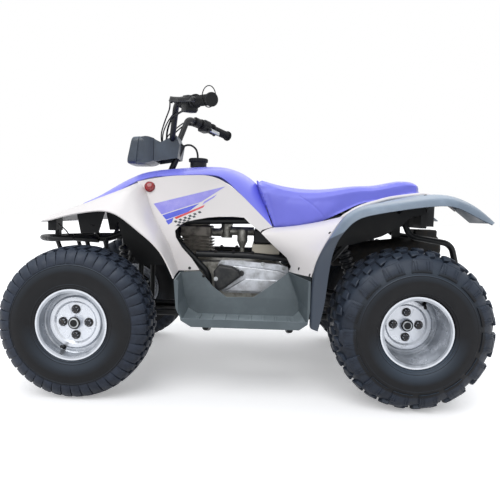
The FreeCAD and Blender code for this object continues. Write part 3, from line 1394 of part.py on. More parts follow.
def swingarm():
    """Axle housing with the final drive case, two arms and the pivot tube in front."""
    axle = Vector(float(rear_axle_x), 0, float(rear_axle_z))
    side = Vector(0, 1, 0)
    half = float(size("housing_length")) / 2
    radius = float(size("housing_radius"))
    housing = rod(axle - side * half, axle + side * half, radius)
    case = rod(axle + side * half * 0.62, axle + side * half * 0.98, radius * 2.4)
    case_rim = rod(axle + side * half * 0.70, axle + side * half * 0.86, radius * 2.6)
    pivot = at(*swing_pivot_share)
    pivot_half = at(0, rail_share, 0).y - tube
    pivot_tube = rod(pivot - side * pivot_half, pivot + side * pivot_half, radius * 0.7)
    arms = [
        rod(
            pivot + side * pivot_half * 0.7 * way, axle + side * half * 0.5 * way + Vector(radius * 0.5, 0, 0),
            radius * 0.62)
        for way in (1, -1)
    ]
    shaft_start = at(-0.165, 0.075, 0.300)
    shaft_end = axle + side * half * 0.8 + Vector(radius * 1.6, 0, 0)
    drive = rod(shaft_start, shaft_end, radius * 0.85)
    low = at(*rear_shock_shares[0])
    seat = rod(low - side * radius, low + side * radius, radius * 0.6)
    web = rod(Vector(low.x, 0, low.z), axle + Vector(radius * 0.5, 0, 0), radius * 0.5)
    bore = rod(axle - side * half * 2, axle + side * half * 2, float(size("axle_radius") + size("axle_gap")))
    node("swingarm", joined([housing, case, case_rim, pivot_tube, drive, seat, web] + arms).cut(bore))


swing_pivot_share = (-0.200, 0.0, 0.300)
rear_shock_shares = [(-0.430, 0.0, 0.330), (-0.330, 0.0, 0.560)]


def rear_shock():
    low, high = [at(*place) for place in rear_shock_shares]
    way = (high - low).normalize()
    long = (high - low).Length
    low = low + way * float(size("housing_radius")) * 0.6
    body = rod(low, high - way * brace * 1.2, brace * 1.2)
    coil = spring(low + way * long * 0.12, way, Vector(0, 1, 0), long * 0.66, brace * 2.8, coil_turns)
    node("rear_shock", joined([body, coil]))
    cross = rod(at(-0.330, -0.120, 0.5905), at(-0.330, 0.120, 0.5905), brace)
    lug = rod(high - way * brace * 1.2, at(-0.330, 0, 0.5905), brace * 0.9)
    stays = rod(at(-0.060, -0.120, 0.575), at(-0.060, 0.120, 0.575), brace)
    cross = fitted(joined([cross, lug]), "frame_upper_left", "frame_upper_right", "rear_shock")
    stays = fitted(stays, "frame_upper_left", "frame_upper_right")
    wing_stay = rod(at(-0.545, 0.120, 0.609), at(-0.545, 0.340, 0.674), brace * 0.8)
    wing_stay = seated(wing_stay, "rear_fender", "frame_upper_left")
    hanger = box_between(at(-0.628, -0.121, 0.480), at(-0.594, -0.113, 0.600))
    hanger = seated(hanger, "muffler", "frame_upper_right")
    node("frame_cross", Part.makeCompound([cross, stays, wing_stay, mirrored(wing_stay), hanger]))


def small_parts():
    cap_low, cap_high = at(0.203, 0.0, 0.7717), at(0.203, 0.0, 0.805)
    cap = rod(cap_low, cap_high, float(girth * 0.032))
    rim_edge = max(cap.Edges, key=lambda edge: edge.CenterOfMass.z)
    node("fuel_cap", cap.makeChamfer(span(0.006), [rim_edge]))
    plate_piece = box_between(at(-0.652, -0.130, 0.560), at(-0.630, 0.130, 0.622))
    shelf = box_between(at(-0.704, -0.055, 0.566), at(-0.650, 0.055, 0.622))
    upright = box_between(at(-0.704, -0.055, 0.600), at(-0.6765, 0.055, 0.6470))
    bracket = joined([plate_piece, shelf, upright])
    node("tail_bracket", seated(bracket, "frame_upper_left", "frame_upper_right"))
    lamp = box_between(at(-0.706, -0.058, 0.6472), at(-0.6765, 0.058, 0.6860))
    lamp = lamp.makeFillet(span(0.006), [edge for edge in lamp.Edges if edge.CenterOfMass.x < at(-0.70, 0, 0).x])
    node("tail_lamp", lamp)
    disc = rod(at(*reflector_shares[0]), at(*reflector_shares[1]), float(size("reflector_radius")))
    disc = seated(disc, "front_fender")
    node("reflectors", Part.makeCompound([disc, mirrored(disc)]))
    hose = bent_tube([at(*place) for place in hose_shares], float(size("hose_radius")), span(hose_bend_share))
    node("vent_hose", seated(hose, "fuel_cap"))


reflector_shares = ((0.355, 0.160, 0.684), (0.355, 0.1705, 0.684))
hose_shares = [(0.206, 0.0, 0.803), (0.2095, 0.0, 0.832), (0.226, 0.0, 0.853), (0.244, 0.0, 0.856)]
hose_bend_share = 0.016


wheels()
rear_axle()
swingarm()
rear_shock()
inner_guards()
small_parts()


def write_parts():
    """Check every object and write one file a sub-part."""
    doc.recompute()
    for item in doc.Objects:
        if "Invalid" in item.State or "Error" in item.State:
            raise RuntimeError(f"{item.Label} failed: {item.State}")
    os.makedirs("parts", exist_ok=True)
    for item in nodes:
        shape = item.Shape
        if shape.isNull() or not shape.isValid():
            raise RuntimeError(f"{item.Label} has a bad shape")
        shape.exportStep(f"parts/{item.Label}.step")
        box = shape.BoundBox
        print(item.Label, len(shape.Solids), round(shape.Volume / 1000), "cm3",
              [round(v) for v in (box.XMin, box.XMax, box.YMin, box.YMax, box.ZMin, box.ZMax)])


write_parts()
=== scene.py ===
# %% [markdown]
# # A small quad bike, dressed for its portrait
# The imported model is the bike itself: every panel, tube and casting at its real size. This notebook gives
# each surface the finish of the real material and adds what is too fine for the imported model, such as
# chamfered tread blocks, cables, screws and printed decoration.

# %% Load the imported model
import json
import math

import bmesh
import bpy
import numpy as np
from mathutils import Matrix, Vector
from mathutils.bvhtree import BVHTree


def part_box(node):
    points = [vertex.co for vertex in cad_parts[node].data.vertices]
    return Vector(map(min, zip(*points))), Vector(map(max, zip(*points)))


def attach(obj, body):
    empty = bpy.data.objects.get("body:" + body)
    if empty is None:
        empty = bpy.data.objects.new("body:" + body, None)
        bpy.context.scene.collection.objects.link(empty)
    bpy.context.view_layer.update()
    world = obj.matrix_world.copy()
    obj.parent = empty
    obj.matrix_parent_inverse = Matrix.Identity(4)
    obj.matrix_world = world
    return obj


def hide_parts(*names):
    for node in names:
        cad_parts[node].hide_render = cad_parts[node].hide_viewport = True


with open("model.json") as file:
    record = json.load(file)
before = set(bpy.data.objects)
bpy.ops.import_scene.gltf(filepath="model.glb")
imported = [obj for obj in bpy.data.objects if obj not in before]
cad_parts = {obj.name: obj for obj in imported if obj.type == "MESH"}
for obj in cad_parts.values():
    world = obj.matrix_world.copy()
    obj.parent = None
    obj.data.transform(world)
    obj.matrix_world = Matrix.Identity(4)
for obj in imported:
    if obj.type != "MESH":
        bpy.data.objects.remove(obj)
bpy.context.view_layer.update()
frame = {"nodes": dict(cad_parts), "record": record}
nodes = frame["nodes"]
MM = 0.001
print("pieces in the packed model:", len(nodes))

# %% [markdown]
# ## Places that everything follows
# The wheels are bodies of their own, and their centres are the middles of the tyres. Most other places are
# read from the box of the piece that they sit on.


# %% Places
def middle_of(node):
    """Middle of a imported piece's box, in metres."""
    low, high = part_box(node)
    return (np.array(low) + np.array(high)) / 2


front_axle = middle_of("front_tyre_left") * (1, 0, 1)
rear_axle = middle_of("rear_tyre_left") * (1, 0, 1)
middle_x = (front_axle[0] + rear_axle[0]) / 2
SIDES = (("left", 1), ("right", -1))


def place(x, y, z):
    """A place from millimetres: x from the middle of the wheelbase, y to the left, z from the ground."""
    return np.array([middle_x + x * MM, y * MM, z * MM])


print("front axle", front_axle.round(4), "rear axle", rear_axle.round(4))

# %% [markdown]
# ## The camera
# The photograph was taken from the left side, a little above the axles, from about two metres. Its place and
# turn were worked out from the wheel centres, so the picture plane is nearly parallel to the bike.

# %% Camera
CAMERA_PLACE = place(-46.2, 1880.3, 598.8)
CAMERA_YAW, CAMERA_PITCH, CAMERA_ROLL = (math.radians(a) for a in (1.155, 4.427, 1.574))
FOCAL_PIXELS = 475.93
FRAME_PIXELS = 500
SENSOR = 36

ahead = np.array([
    math.sin(CAMERA_YAW) * math.cos(CAMERA_PITCH), -math.cos(CAMERA_YAW) * math.cos(CAMERA_PITCH),
    -math.sin(CAMERA_PITCH),
])
level_right = np.cross(ahead, (0, 0, 1))
level_right /= np.linalg.norm(level_right)
level_up = np.cross(level_right, ahead)
right = math.cos(CAMERA_ROLL) * level_right + math.sin(CAMERA_ROLL) * level_up
up = math.cos(CAMERA_ROLL) * level_up - math.sin(CAMERA_ROLL) * level_right
camera_data = bpy.data.cameras.new("camera")
camera_data.sensor_width = SENSOR
camera_data.lens = FOCAL_PIXELS / FRAME_PIXELS * SENSOR
camera = bpy.data.objects.new("camera", camera_data)
bpy.context.scene.collection.objects.link(camera)
turn = Matrix(np.column_stack([right, up, -ahead]).tolist()).to_4x4()
camera.matrix_world = Matrix.Translation(CAMERA_PLACE.tolist()) @ turn
bpy.context.scene.camera = camera
print("lens", round(camera_data.lens, 2), "mm")

# %% [markdown]
# ## Colours and nodes
# Colours are written as they look on a screen and turned to linear light by one function. One helper adds a
# shader node with its settings and links, and every finish below is built with it.


# %% Colour and node helpers
def linear(code, alpha=1.0):
    """Screen colour code to linear light: each channel divided by 12.92, or raised to 2.4 above the toe."""
    channels = np.array([int(code[i:i + 2], 16) for i in (1, 3, 5)]) / 255
    toe = channels / 12.92
    curve = ((channels + 0.055) / 1.055) ** 2.4
    return (*np.where(channels <= 0.04045, toe, curve).tolist(), alpha)


def wire(tree, node, inputs):
    """Give each named socket of a node its value, or a link from another node's output."""
    for socket, value in inputs.items():
        if isinstance(value, bpy.types.NodeSocket):
            tree.links.new(value, node.inputs[socket])
        else:
            node.inputs[socket].default_value = value


def add(tree, kind, inputs=None, **settings):
    """One new node: settings are its own properties, inputs are wired to its sockets."""
    node = tree.nodes.new("ShaderNode" + kind)
    for name, value in settings.items():
        setattr(node, name, value)
    wire(tree, node, inputs or {})
    return node


def blank(name):
    """A new material with one shader: returns its tree, the shader and the Object coordinates."""
    material = bpy.data.materials.new(name)
    material.use_nodes = True
    tree = material.node_tree
    shader = tree.nodes["Principled BSDF"]
    return material, tree, shader, add(tree, "TexCoord").outputs["Object"]


def mixed(tree, share, first, second):
    """Colour output between two colours, each a screen code or an output."""
    first, second = (linear(c) if isinstance(c, str) else c for c in (first, second))
    node = add(tree, "Mix", {"Factor": share, 6: first, 7: second}, data_type="RGBA")
    return node.outputs[2]


def ranged(tree, value, low, high, to_low=0.0, to_high=1.0):
    """Value output stretched from low..high to to_low..to_high and held at the ends."""
    return add(tree, "MapRange", {"Value": value, "From Min": low, "From Max": high,
                                  "To Min": to_low, "To Max": to_high}).outputs["Result"]


def noise(tree, where, size_mm, detail=2.0, rough=0.5):
    """Cloudy pattern whose clouds are about size_mm across."""
    return add(tree, "TexNoise", {"Vector": where, "Scale": 1 / (size_mm * MM), "Detail": detail,
                                  "Roughness": rough}).outputs["Fac"]


def bumped(tree, height, depth_mm, strength=1.0, over=None):
    """Normal output raised by a height pattern."""
    inputs = {"Height": height, "Distance": depth_mm * MM, "Strength": strength}
    if over is not None:
        inputs["Normal"] = over
    return add(tree, "Bump", inputs).outputs["Normal"]


def upness(tree):
    """How far a surface faces up: the third part of its normal."""
    normal = add(tree, "NewGeometry").outputs["Normal"]
    return add(tree, "SeparateXYZ", {0: normal}).outputs["Z"]


finishes = {}


# %% [markdown]
# ## Moulded body plastic
# The bright panels are injection-moulded polypropylene, coloured right through. Close to, the skin is a
# little wavy from the mould and dulled by fine wear, so gloss and tone both wander slightly.


# %% Moulded polypropylene
def moulded_panel(name, colour, shade, rough=0.34):
    """Gloss polypropylene: slow change of tone, soft sink marks and rubbed patches."""
    material, tree, shader, where = blank(name)
    tone = noise(tree, where, 260)
    rub = noise(tree, where, 45, 4, 0.65)
    wave = bumped(tree, noise(tree, where, 60), 0.5, 0.4)
    wire(tree, shader, {
        "Base Color": mixed(tree, ranged(tree, tone, 0.35, 0.7), colour, shade),
        "Roughness": ranged(tree, rub, 0.4, 0.75, rough, rough + 0.12),
        "Normal": bumped(tree, noise(tree, where, 2.2, 3), 0.05, 0.35, wave),
        "IOR": 1.49})
    finishes[name] = material


moulded_panel("white_moulded_polypropylene", "#e9e5e4", "#dfdbda")
moulded_panel("violet_moulded_polypropylene", "#8286f2", "#777ae4", 0.3)
print("moulded panels:", list(finishes))

# %% [markdown]
# ## Grained black and slate plastic
# Mudguard edges, foot wells and lamp housings have a spark-eroded grain that hides scratches. The faces that
# look up are painted paler and bluer than the sides, as painted sky light, and dust lies on them in patches.
# The front leg of the rear mudguard turns inwards under a crease, and under it the colour is painted shade.


# %% Grained polypropylene
def grained_plastic(name, colour, dusty_and_sky_lit, grain_mm=2.4, rough=0.52, shine=0.5):
    """Grained polypropylene: cells for the grain, painted sky light on faces that look up, dust in patches."""
    material, tree, shader, where = blank(name)
    dust = noise(tree, where, 70, 5, 0.6)
    # Painted sky light: the more a face looks up, the more of the paler, bluer second colour.
    sky = ranged(tree, upness(tree), 0.15, 0.95, 0.0, 0.75)
    painted_sky_light = add(tree, "Math", {0: sky, 1: ranged(tree, dust, 0.35, 0.65, 0.55, 1.0)}, operation="MULTIPLY")
    # Dust in patches brings in the second colour whatever way a face looks.
    blotch = ranged(tree, dust, 0.45, 0.8, 0.0, 0.25)
    share = add(tree, "Math", {0: painted_sky_light.outputs[0], 1: blotch}, operation="ADD", use_clamp=True)
    cells = add(tree, "TexVoronoi", {"Vector": where, "Scale": 1 / (grain_mm * MM)},
                feature="SMOOTH_F1").outputs["Distance"]
    wire(tree, shader, {
        "Base Color": mixed(tree, share.outputs[0], colour, dusty_and_sky_lit),
        "Roughness": ranged(tree, dust, 0.35, 0.7, rough - 0.08, rough + 0.1),
        "Normal": bumped(tree, cells, 0.12, 0.5), "IOR": 1.49, "Specular IOR Level": shine})
    finishes[name] = material


# Each second colour is painted sky light on faces that look up, and dust in patches.
grained_plastic("slate_grained_polypropylene", "#4c5258", "#737c84")
grained_plastic("grey_grained_polypropylene", "#566065", "#8c979c")
grained_plastic("black_grained_polypropylene", "#0f1114", "#2a3038", rough=0.45, shine=0.3)
grained_plastic("lamp_grained_polypropylene", "#3d4650", "#6a7a8a", rough=0.4)


def creased_plastic(name, upper, dusty_and_sky_lit, leg, crease, slope, level_from):
    """Grained plastic with painted shade under a crease: a line that climbs backwards by slope, then runs
    level.
    """
    grained_plastic(name, upper, dusty_and_sky_lit, rough=0.44)
    tree = finishes[name].node_tree
    shader = next(node for node in tree.nodes if node.type == "BSDF_PRINCIPLED")
    above = shader.inputs["Base Color"].links[0].from_socket
    where = add(tree, "TexCoord").outputs["Object"]
    parts = add(tree, "SeparateXYZ", {0: where})
    held = add(tree, "Math", {0: parts.outputs["X"], 1: level_from[0]}, operation="MAXIMUM")
    run = add(tree, "Math", {0: held.outputs[0], 1: slope, 2: crease[2] - slope * crease[0]},
              operation="MULTIPLY_ADD")
    height = add(tree, "Math", {0: parts.outputs["Z"], 1: run.outputs[0]}, operation="SUBTRACT")
    # Below the crease line the leg colour is painted shade.
    mix = add(tree, "Mix", {0: ranged(tree, height.outputs[0], -CREASE_EDGE, CREASE_EDGE)}, data_type="RGBA")
    mix.inputs[6].default_value = linear(leg)
    tree.links.new(above, mix.inputs[7])
    tree.links.new(mix.outputs[2], shader.inputs["Base Color"])


CREASE_PLACE, CREASE_LEVEL_FROM = place(-266, 0, 532), place(-335, 0, 0)
CREASE_SLOPE = -0.57
CREASE_EDGE = 2 * MM
# The third colour, #38414e, is the painted shade of the leg under the crease.
creased_plastic("fender_grained_polypropylene", "#677585", "#93a4b6", "#38414e", CREASE_PLACE, CREASE_SLOPE,
                CREASE_LEVEL_FROM)

# %% [markdown]
# ## Leathercloth of the saddle
# Stretched PVC leathercloth with an embossed grain. It has a soft sheen, and its top is painted a little
# paler, as painted light from above.


# %% Leathercloth
def seat_leathercloth():
    """PVC leathercloth: clouds of tone, painted paler the more it faces up as light from above, embossed
    cells.
    """
    material, tree, shader, where = blank("violet_embossed_leathercloth")
    tone = noise(tree, where, 120, 3)
    # Painted top light: the more the cover faces up, the more of the paler violet.
    sky = ranged(tree, upness(tree), 0.2, 0.95, 0.0, 0.8)
    body = mixed(tree, ranged(tree, tone, 0.35, 0.7, 0.0, 0.5), "#777ae2", "#6c6ed4")
    cells = add(tree, "TexVoronoi", {"Vector": where, "Scale": 1 / (3.2 * MM)},
                feature="DISTANCE_TO_EDGE").outputs["Distance"]
    slack = bumped(tree, noise(tree, where, 80), 2.0, 0.25)
    wire(tree, shader, {
        "Base Color": mixed(tree, sky, body, "#868af0"),
        "Normal": bumped(tree, ranged(tree, cells, 0.0, 0.25), 0.15, 0.4, slack),
        "Roughness": 0.5, "IOR": 1.5, "Sheen Weight": 0.15})
    finishes["violet_embossed_leathercloth"] = material


seat_leathercloth()

# %% [markdown]
# ## Painted and plated metal
# The frame is black powder coat, the wheels are sprayed silver, small parts are bright zinc, and the engine
# cases are sand-cast aluminium, bare or painted black. All share one recipe: a base, a second tone where
# dirt or wear gathers, and a bump whose grain is the size of the casting sand or of the paint's orange peel.


# %% Metal finishes
def metal_finish(name, colour, second, metallic, rough, grain_mm, depth_mm, patch_mm=30.0, shine=0.5):
    """Metal or paint with a second tone in patches and a grain."""
    material, tree, shader, where = blank(name)
    patch = noise(tree, where, patch_mm, 4, 0.6)
    wire(tree, shader, {
        "Base Color": mixed(tree, ranged(tree, patch, 0.42, 0.72), colour, second),
        "Roughness": ranged(tree, patch, 0.35, 0.75, rough, rough + 0.15),
        "Normal": bumped(tree, noise(tree, where, grain_mm, 3), depth_mm, 0.4),
        "Metallic": metallic, "Specular IOR Level": shine})
    finishes[name] = material


metal_finish("black_powder_coated_steel", "#0e1013", "#1b1e22", 0.0, 0.36, 1.6, 0.06, shine=0.35)
metal_finish("zinc_plated_steel", "#b9bdc0", "#8d8f8e", 0.9, 0.32, 0.8, 0.02)
metal_finish("sand_cast_aluminium", "#a7a69f", "#6f6c66", 0.85, 0.48, 1.2, 0.12, 22)
metal_finish("black_painted_casting", "#1c1e21", "#3a3a39", 0.2, 0.42, 1.2, 0.12, 26)
metal_finish("black_heat_painted_steel", "#161617", "#2e2822", 0.1, 0.55, 1.4, 0.08, 18, shine=0.3)
metal_finish("spring_enamel", "#26282c", "#34363a", 0.0, 0.28, 1.4, 0.03)
metal_finish("dark_oxide_steel", "#33353a", "#4d4843", 0.8, 0.42, 0.9, 0.05, 8)
metal_finish("weathered_cast_aluminium", "#8a857d", "#4e4a45", 0.5, 0.5, 1.2, 0.12, 26)
metal_finish("polished_cast_aluminium", "#c9ccd2", "#a3a5a8", 0.7, 0.36, 1.0, 0.08, 26)


def from_axle(tree, where, axle):
    """Distance of a point from the axle's line, which runs across the bike."""
    away = add(tree, "VectorMath", {0: where, 1: tuple(-axle)}, operation="ADD").outputs[0]
    flat = add(tree, "VectorMath", {0: away, 1: (1, 0, 1)}, operation="MULTIPLY").outputs[0]
    return add(tree, "VectorMath", {0: flat}, operation="LENGTH").outputs["Value"]


# The barrel, from the disc's edge out to the bright lip, is painted in shade, patchy with dust.
BARREL_SHADE_FROM, BARREL_SHADE_FULL = 74 * MM, 92 * MM
LIP_FROM, LIP_FULL = 104 * MM, 108 * MM


def wheel_lacquer(name, centre, bright, dusty):
    """Silver lacquer with painted shade in the barrel, by distance from the axle: disc's edge to lip, patchy
    with dust.
    """
    material, tree, shader, where = blank(name)
    reach = from_axle(tree, where, centre)
    film_of_dust = noise(tree, where, 45, 3, 0.5)
    deep = ranged(tree, reach, BARREL_SHADE_FROM, BARREL_SHADE_FULL)
    lip = ranged(tree, reach, LIP_FROM, LIP_FULL, 1.0, 0.0)
    share = add(tree, "Math", {0: deep, 1: lip}, operation="MULTIPLY").outputs[0]
    share = add(tree, "Math", {0: share, 1: ranged(tree, film_of_dust, 0.3, 0.75, 0.45, 1.0)},
                operation="MULTIPLY").outputs[0]
    wire(tree, shader, {
        "Base Color": mixed(tree, share, bright, dusty),
        "Roughness": ranged(tree, film_of_dust, 0.4, 0.8, 0.26, 0.42),
        "Normal": bumped(tree, noise(tree, where, 1.2, 3), 0.03, 0.4),
        "Metallic": 0.55, "Coat Weight": 0.3})
    finishes[name] = material


# The second colour is the barrel's painted shade, patchy with dust.
wheel_lacquer("front_silver_lacquer", front_axle, "#dfe3ea", "#848a92")
wheel_lacquer("rear_silver_lacquer", rear_axle, "#dfe3ea", "#7c828a")
print("metals done,", len(finishes), "finishes")

# %% [markdown]
# ## Rubber, lenses and cream plastic
# Tyre rubber is carbon black, matt on the tread and wiped to a shine on the sidewall. The blue grey of the
# tread is painted sky reflection over scuffs and dust, and the sidewall is painted paler blue where it faces
# up, as painted
# sky reflection. Lenses are acrylic: coloured right through, smooth outside.


# %% Rubber and acrylic
def rubber(name, colour, dusty, rough, grain_mm=1.5, shine=0.25):
    """Moulded rubber: dark, with clouds of dust that pale and dull it, over a fine grain."""
    material, tree, shader, where = blank(name)
    dust = noise(tree, where, 28, 5, 0.65)
    wire(tree, shader, {
        "Base Color": mixed(tree, ranged(tree, dust, 0.45, 0.8, 0.0, 0.6), colour, dusty),
        "Roughness": ranged(tree, dust, 0.35, 0.75, rough, rough + 0.18),
        "Normal": bumped(tree, noise(tree, where, grain_mm, 3), 0.08, 0.4),
        "IOR": 1.52, "Specular IOR Level": shine})
    finishes[name] = material
    return tree, shader, where


PAINTED_SKY_REFLECTION = "#39434f"
SCUFF_AND_SHEEN_BELOW, SCUFF_AND_SHEEN_ABOVE = 3, 2


def tread_rubber(name, axle, tread_mm, wall, tread):
    """Tyre rubber: blue grey from radius tread_mm out, painted sky reflection over scuffs; the wall near
    black, with a painted sky reflection where it faces up.
    """
    tree, shader, where = rubber(name, wall, wall, 0.42)
    reach = from_axle(tree, where, axle)
    # The tread colour is partly scuffs and dust, partly painted sky reflection on the blocks.
    scuff_and_sheen = noise(tree, where, 22, 5, 0.6)
    edge = ranged(tree, reach, (tread_mm - SCUFF_AND_SHEEN_BELOW) * MM, (tread_mm + SCUFF_AND_SHEEN_ABOVE) * MM)
    share = add(tree, "Math", {0: edge, 1: ranged(tree, scuff_and_sheen, 0.3, 0.75, 0.35, 1.0)}, operation="MULTIPLY")
    # Painted sky reflection: the sidewall turns paler blue where it faces up.
    sheen = mixed(tree, ranged(tree, upness(tree), 0.0, 0.45), wall, PAINTED_SKY_REFLECTION)
    tree.links.new(mixed(tree, share.outputs[0], sheen, tread), shader.inputs["Base Color"])


def acrylic(name, colour, deep, clear=0.0):
    """Coloured acrylic lens over a pattern of small prisms."""
    material, tree, shader, where = blank(name)
    prisms = add(tree, "TexVoronoi", {"Vector": where, "Scale": 1 / (5 * MM)},
                 distance="CHEBYCHEV").outputs["Distance"]
    wire(tree, shader, {
        "Base Color": mixed(tree, ranged(tree, prisms, 0.1, 0.6), colour, deep),
        "Normal": bumped(tree, prisms, 0.5, 0.3),
        "Roughness": 0.12, "IOR": 1.49, "Coat Weight": 0.6, "Transmission Weight": clear})
    finishes[name] = material


# The last colour of each tyre is the tread's painted sky reflection over scuffs and dust.
tread_rubber("front_vulcanised_rubber", front_axle, 190, "#0b0c10", "#343b49")
tread_rubber("rear_vulcanised_rubber", rear_axle, 196, "#0b0c10", "#323946")
rubber("grip_moulded_rubber", "#17181a", "#26282b", 0.55)
rubber("hose_moulded_rubber", "#1a1b1d", "#2a2b2d", 0.5)
acrylic("red_moulded_acrylic", "#b5101c", "#75080f")
acrylic("clear_moulded_acrylic", "#e7ebee", "#c2c8cc", 0.55)
moulded_panel("cream_moulded_polypropylene", "#cfc8b8", "#bdb5a4", 0.5)

# %% [markdown]
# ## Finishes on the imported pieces
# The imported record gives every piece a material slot. The real finish is looked up from it, so that the same
# slot always looks the same.

# %% Finish of each slot
SLOT_FINISHES = {
    "white_plastic": "white_moulded_polypropylene",
    "violet_plastic": "violet_moulded_polypropylene",
    "slate_plastic": "slate_grained_polypropylene",
    "grey_plastic": "grey_grained_polypropylene",
    "seat_vinyl": "violet_embossed_leathercloth",
    "black_steel": "black_powder_coated_steel",
    "black_plastic": "black_grained_polypropylene",
    "cream_plastic": "cream_moulded_polypropylene",
    "cast_aluminium": "sand_cast_aluminium",
    "black_engine": "black_painted_casting",
    "exhaust_steel": "black_heat_painted_steel",
    "shock_steel": "spring_enamel",
    "zinc_steel": "zinc_plated_steel",
    "grip_rubber": "grip_moulded_rubber",
    "headlamp": "black_grained_polypropylene",
    "tail_lamp": "red_moulded_acrylic",
    "tyre": "front_vulcanised_rubber",
    "rim_silver": "front_silver_lacquer",
    "black_rubber": "hose_moulded_rubber",
    "reflector": "red_moulded_acrylic",
}


def dress(node, finish):
    """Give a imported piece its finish."""
    mesh = nodes[node].data
    mesh.materials.clear()
    mesh.materials.append(finishes[finish])


for sub_part in frame["record"]["subparts"]:
    dress(sub_part["node"], SLOT_FINISHES[sub_part["material_slot"]])
dress("belt_case", "polished_cast_aluminium")
dress("engine_cylinder", "weathered_cast_aluminium")
dress("rear_fender", "fender_grained_polypropylene")
dress("bar_cover", "lamp_grained_polypropylene")
dress("headlamp", "lamp_grained_polypropylene")
for word, _ in SIDES:
    dress("rear_rim_" + word, "rear_silver_lacquer")
print("dressed", len(nodes), "packed pieces")

# %% [markdown]
# ## Tools for new pieces
# Each new piece is a surface worked out with numpy: a net of points whose rows and columns are joined by
# quads. A tube is a ring carried along a path, a turned part is a profile carried round an axis. Parts of
# one piece are laid in one mesh.


# %% Surface tools
SHARP_TURN = math.radians(38)
made = {}


def net(points, close_rows=False, close_columns=False):
    """Points in rows joined by quads: corners go round each cell, and a closed side wraps to its start."""
    rows, columns = points.shape[:2]
    i = np.arange(rows - (not close_rows))[:, None]
    j = np.arange(columns - (not close_columns))[None, :]
    below, beside = (i + 1) % rows, (j + 1) % columns
    corners = [i * columns + j, i * columns + beside, below * columns + beside, below * columns + j]
    quads = np.stack(np.broadcast_arrays(*corners), -1).reshape(-1, 4)
    return points.reshape(-1, 3), quads.tolist()


def laid_together(parts):
    """Parts of one piece in one list of points and faces, each part's corner numbers moved past the last."""
    points, faces, start = [], [], 0
    for part_points, part_faces in parts:
        points.append(part_points)
        faces += [[corner + start for corner in face] for face in part_faces]
        start += len(part_points)
    return np.concatenate(points), faces


def unit(vectors):
    """Each vector divided by its length."""
    return vectors / np.linalg.norm(vectors, axis=-1, keepdims=True)


def smooth_path(points, steps=8):
    """Catmull-Rom curve: cubics whose slope at each point is half the step between its neighbours."""
    points = np.asarray(points, float)
    padded = np.concatenate([2 * points[:1] - points[1:2], points, 2 * points[-1:] - points[-2:-1]])
    a, b, c, d = (padded[k:len(padded) - 3 + k, None] for k in range(4))
    t = np.linspace(0, 1, steps, endpoint=False)[None, :, None]
    run = (b + (c - a) / 2 * t + (a - 2.5 * b + 2 * c - d / 2) * t ** 2
           + (1.5 * (b - c) + (d - a) / 2) * t ** 3)
    return np.concatenate([run.reshape(-1, points.shape[-1]), points[-1:]])


def capped(points, faces, around):
    """A net closed round its columns, with one face over its first ring and one over its last."""
    last = len(points) - around
    return points, faces + [list(range(around))[::-1], list(range(last, last + around))]


def tube(path, radius, around=12):
    """Rings square to the path: each point is the path plus radius times a mix of two side vectors."""
    path = np.asarray(path, float)
    along = unit(np.gradient(path, axis=0))
    spare = np.eye(3)[np.argmin(np.abs(along).max(axis=0))]
    side = unit(np.cross(along, spare))
    other = np.cross(along, side)
    angle = np.linspace(0, 2 * math.pi, around, endpoint=False)[None, :, None]
    radius = np.broadcast_to(np.asarray(radius, float), len(path))[:, None, None]
    rings = path[:, None] + radius * (np.cos(angle) * side[:, None] + np.sin(angle) * other[:, None])
    return capped(*net(rings, close_columns=True), around)


def turned(profile, centre, axis, around=48):
    """(along, radius) pairs carried round an axis: centre + along * axis + radius * turning side."""
    profile = np.asarray(profile, float)
    axis = unit(np.asarray(axis, float))
    side = unit(np.cross(axis, np.eye(3)[np.argmin(np.abs(axis))]))
    other = np.cross(axis, side)
    angle = np.linspace(0, 2 * math.pi, around, endpoint=False)[None, :, None]
    ring = np.cos(angle) * side + np.sin(angle) * other
    points = centre + profile[:, None, :1] * axis + profile[:, None, 1:] * ring
    return net(points, close_columns=True)


def rounded_box(low, high, radius, steps=3):
    """A ball pulled apart at its middle planes: the box's inner corner plus radius times a direction."""
    low, high = np.asarray(low, float), np.asarray(high, float)
    centre, half = (low + high) / 2, (high - low) / 2
    quarter = np.linspace(0, math.pi / 2, steps + 1)
    turn_round = np.concatenate([quarter + k * math.pi / 2 for k in range(4)])
    climb = np.concatenate([quarter - math.pi / 2, quarter])
    way_x = np.repeat([1, -1, -1, 1], steps + 1)
    way_y = np.repeat([1, 1, -1, -1], steps + 1)
    way_z = np.repeat([-1, 1], steps + 1)
    direction = np.stack([
        np.cos(climb)[:, None] * np.cos(turn_round), np.cos(climb)[:, None] * np.sin(turn_round),
        np.sin(climb)[:, None] * np.ones_like(turn_round)], -1)
    corner = np.stack(np.broadcast_arrays(way_x[None, :], way_y[None, :], way_z[:, None]), -1)
    shell = net(centre + corner * (half - radius) + radius * direction, close_columns=True)
    return capped(*shell, len(turn_round))


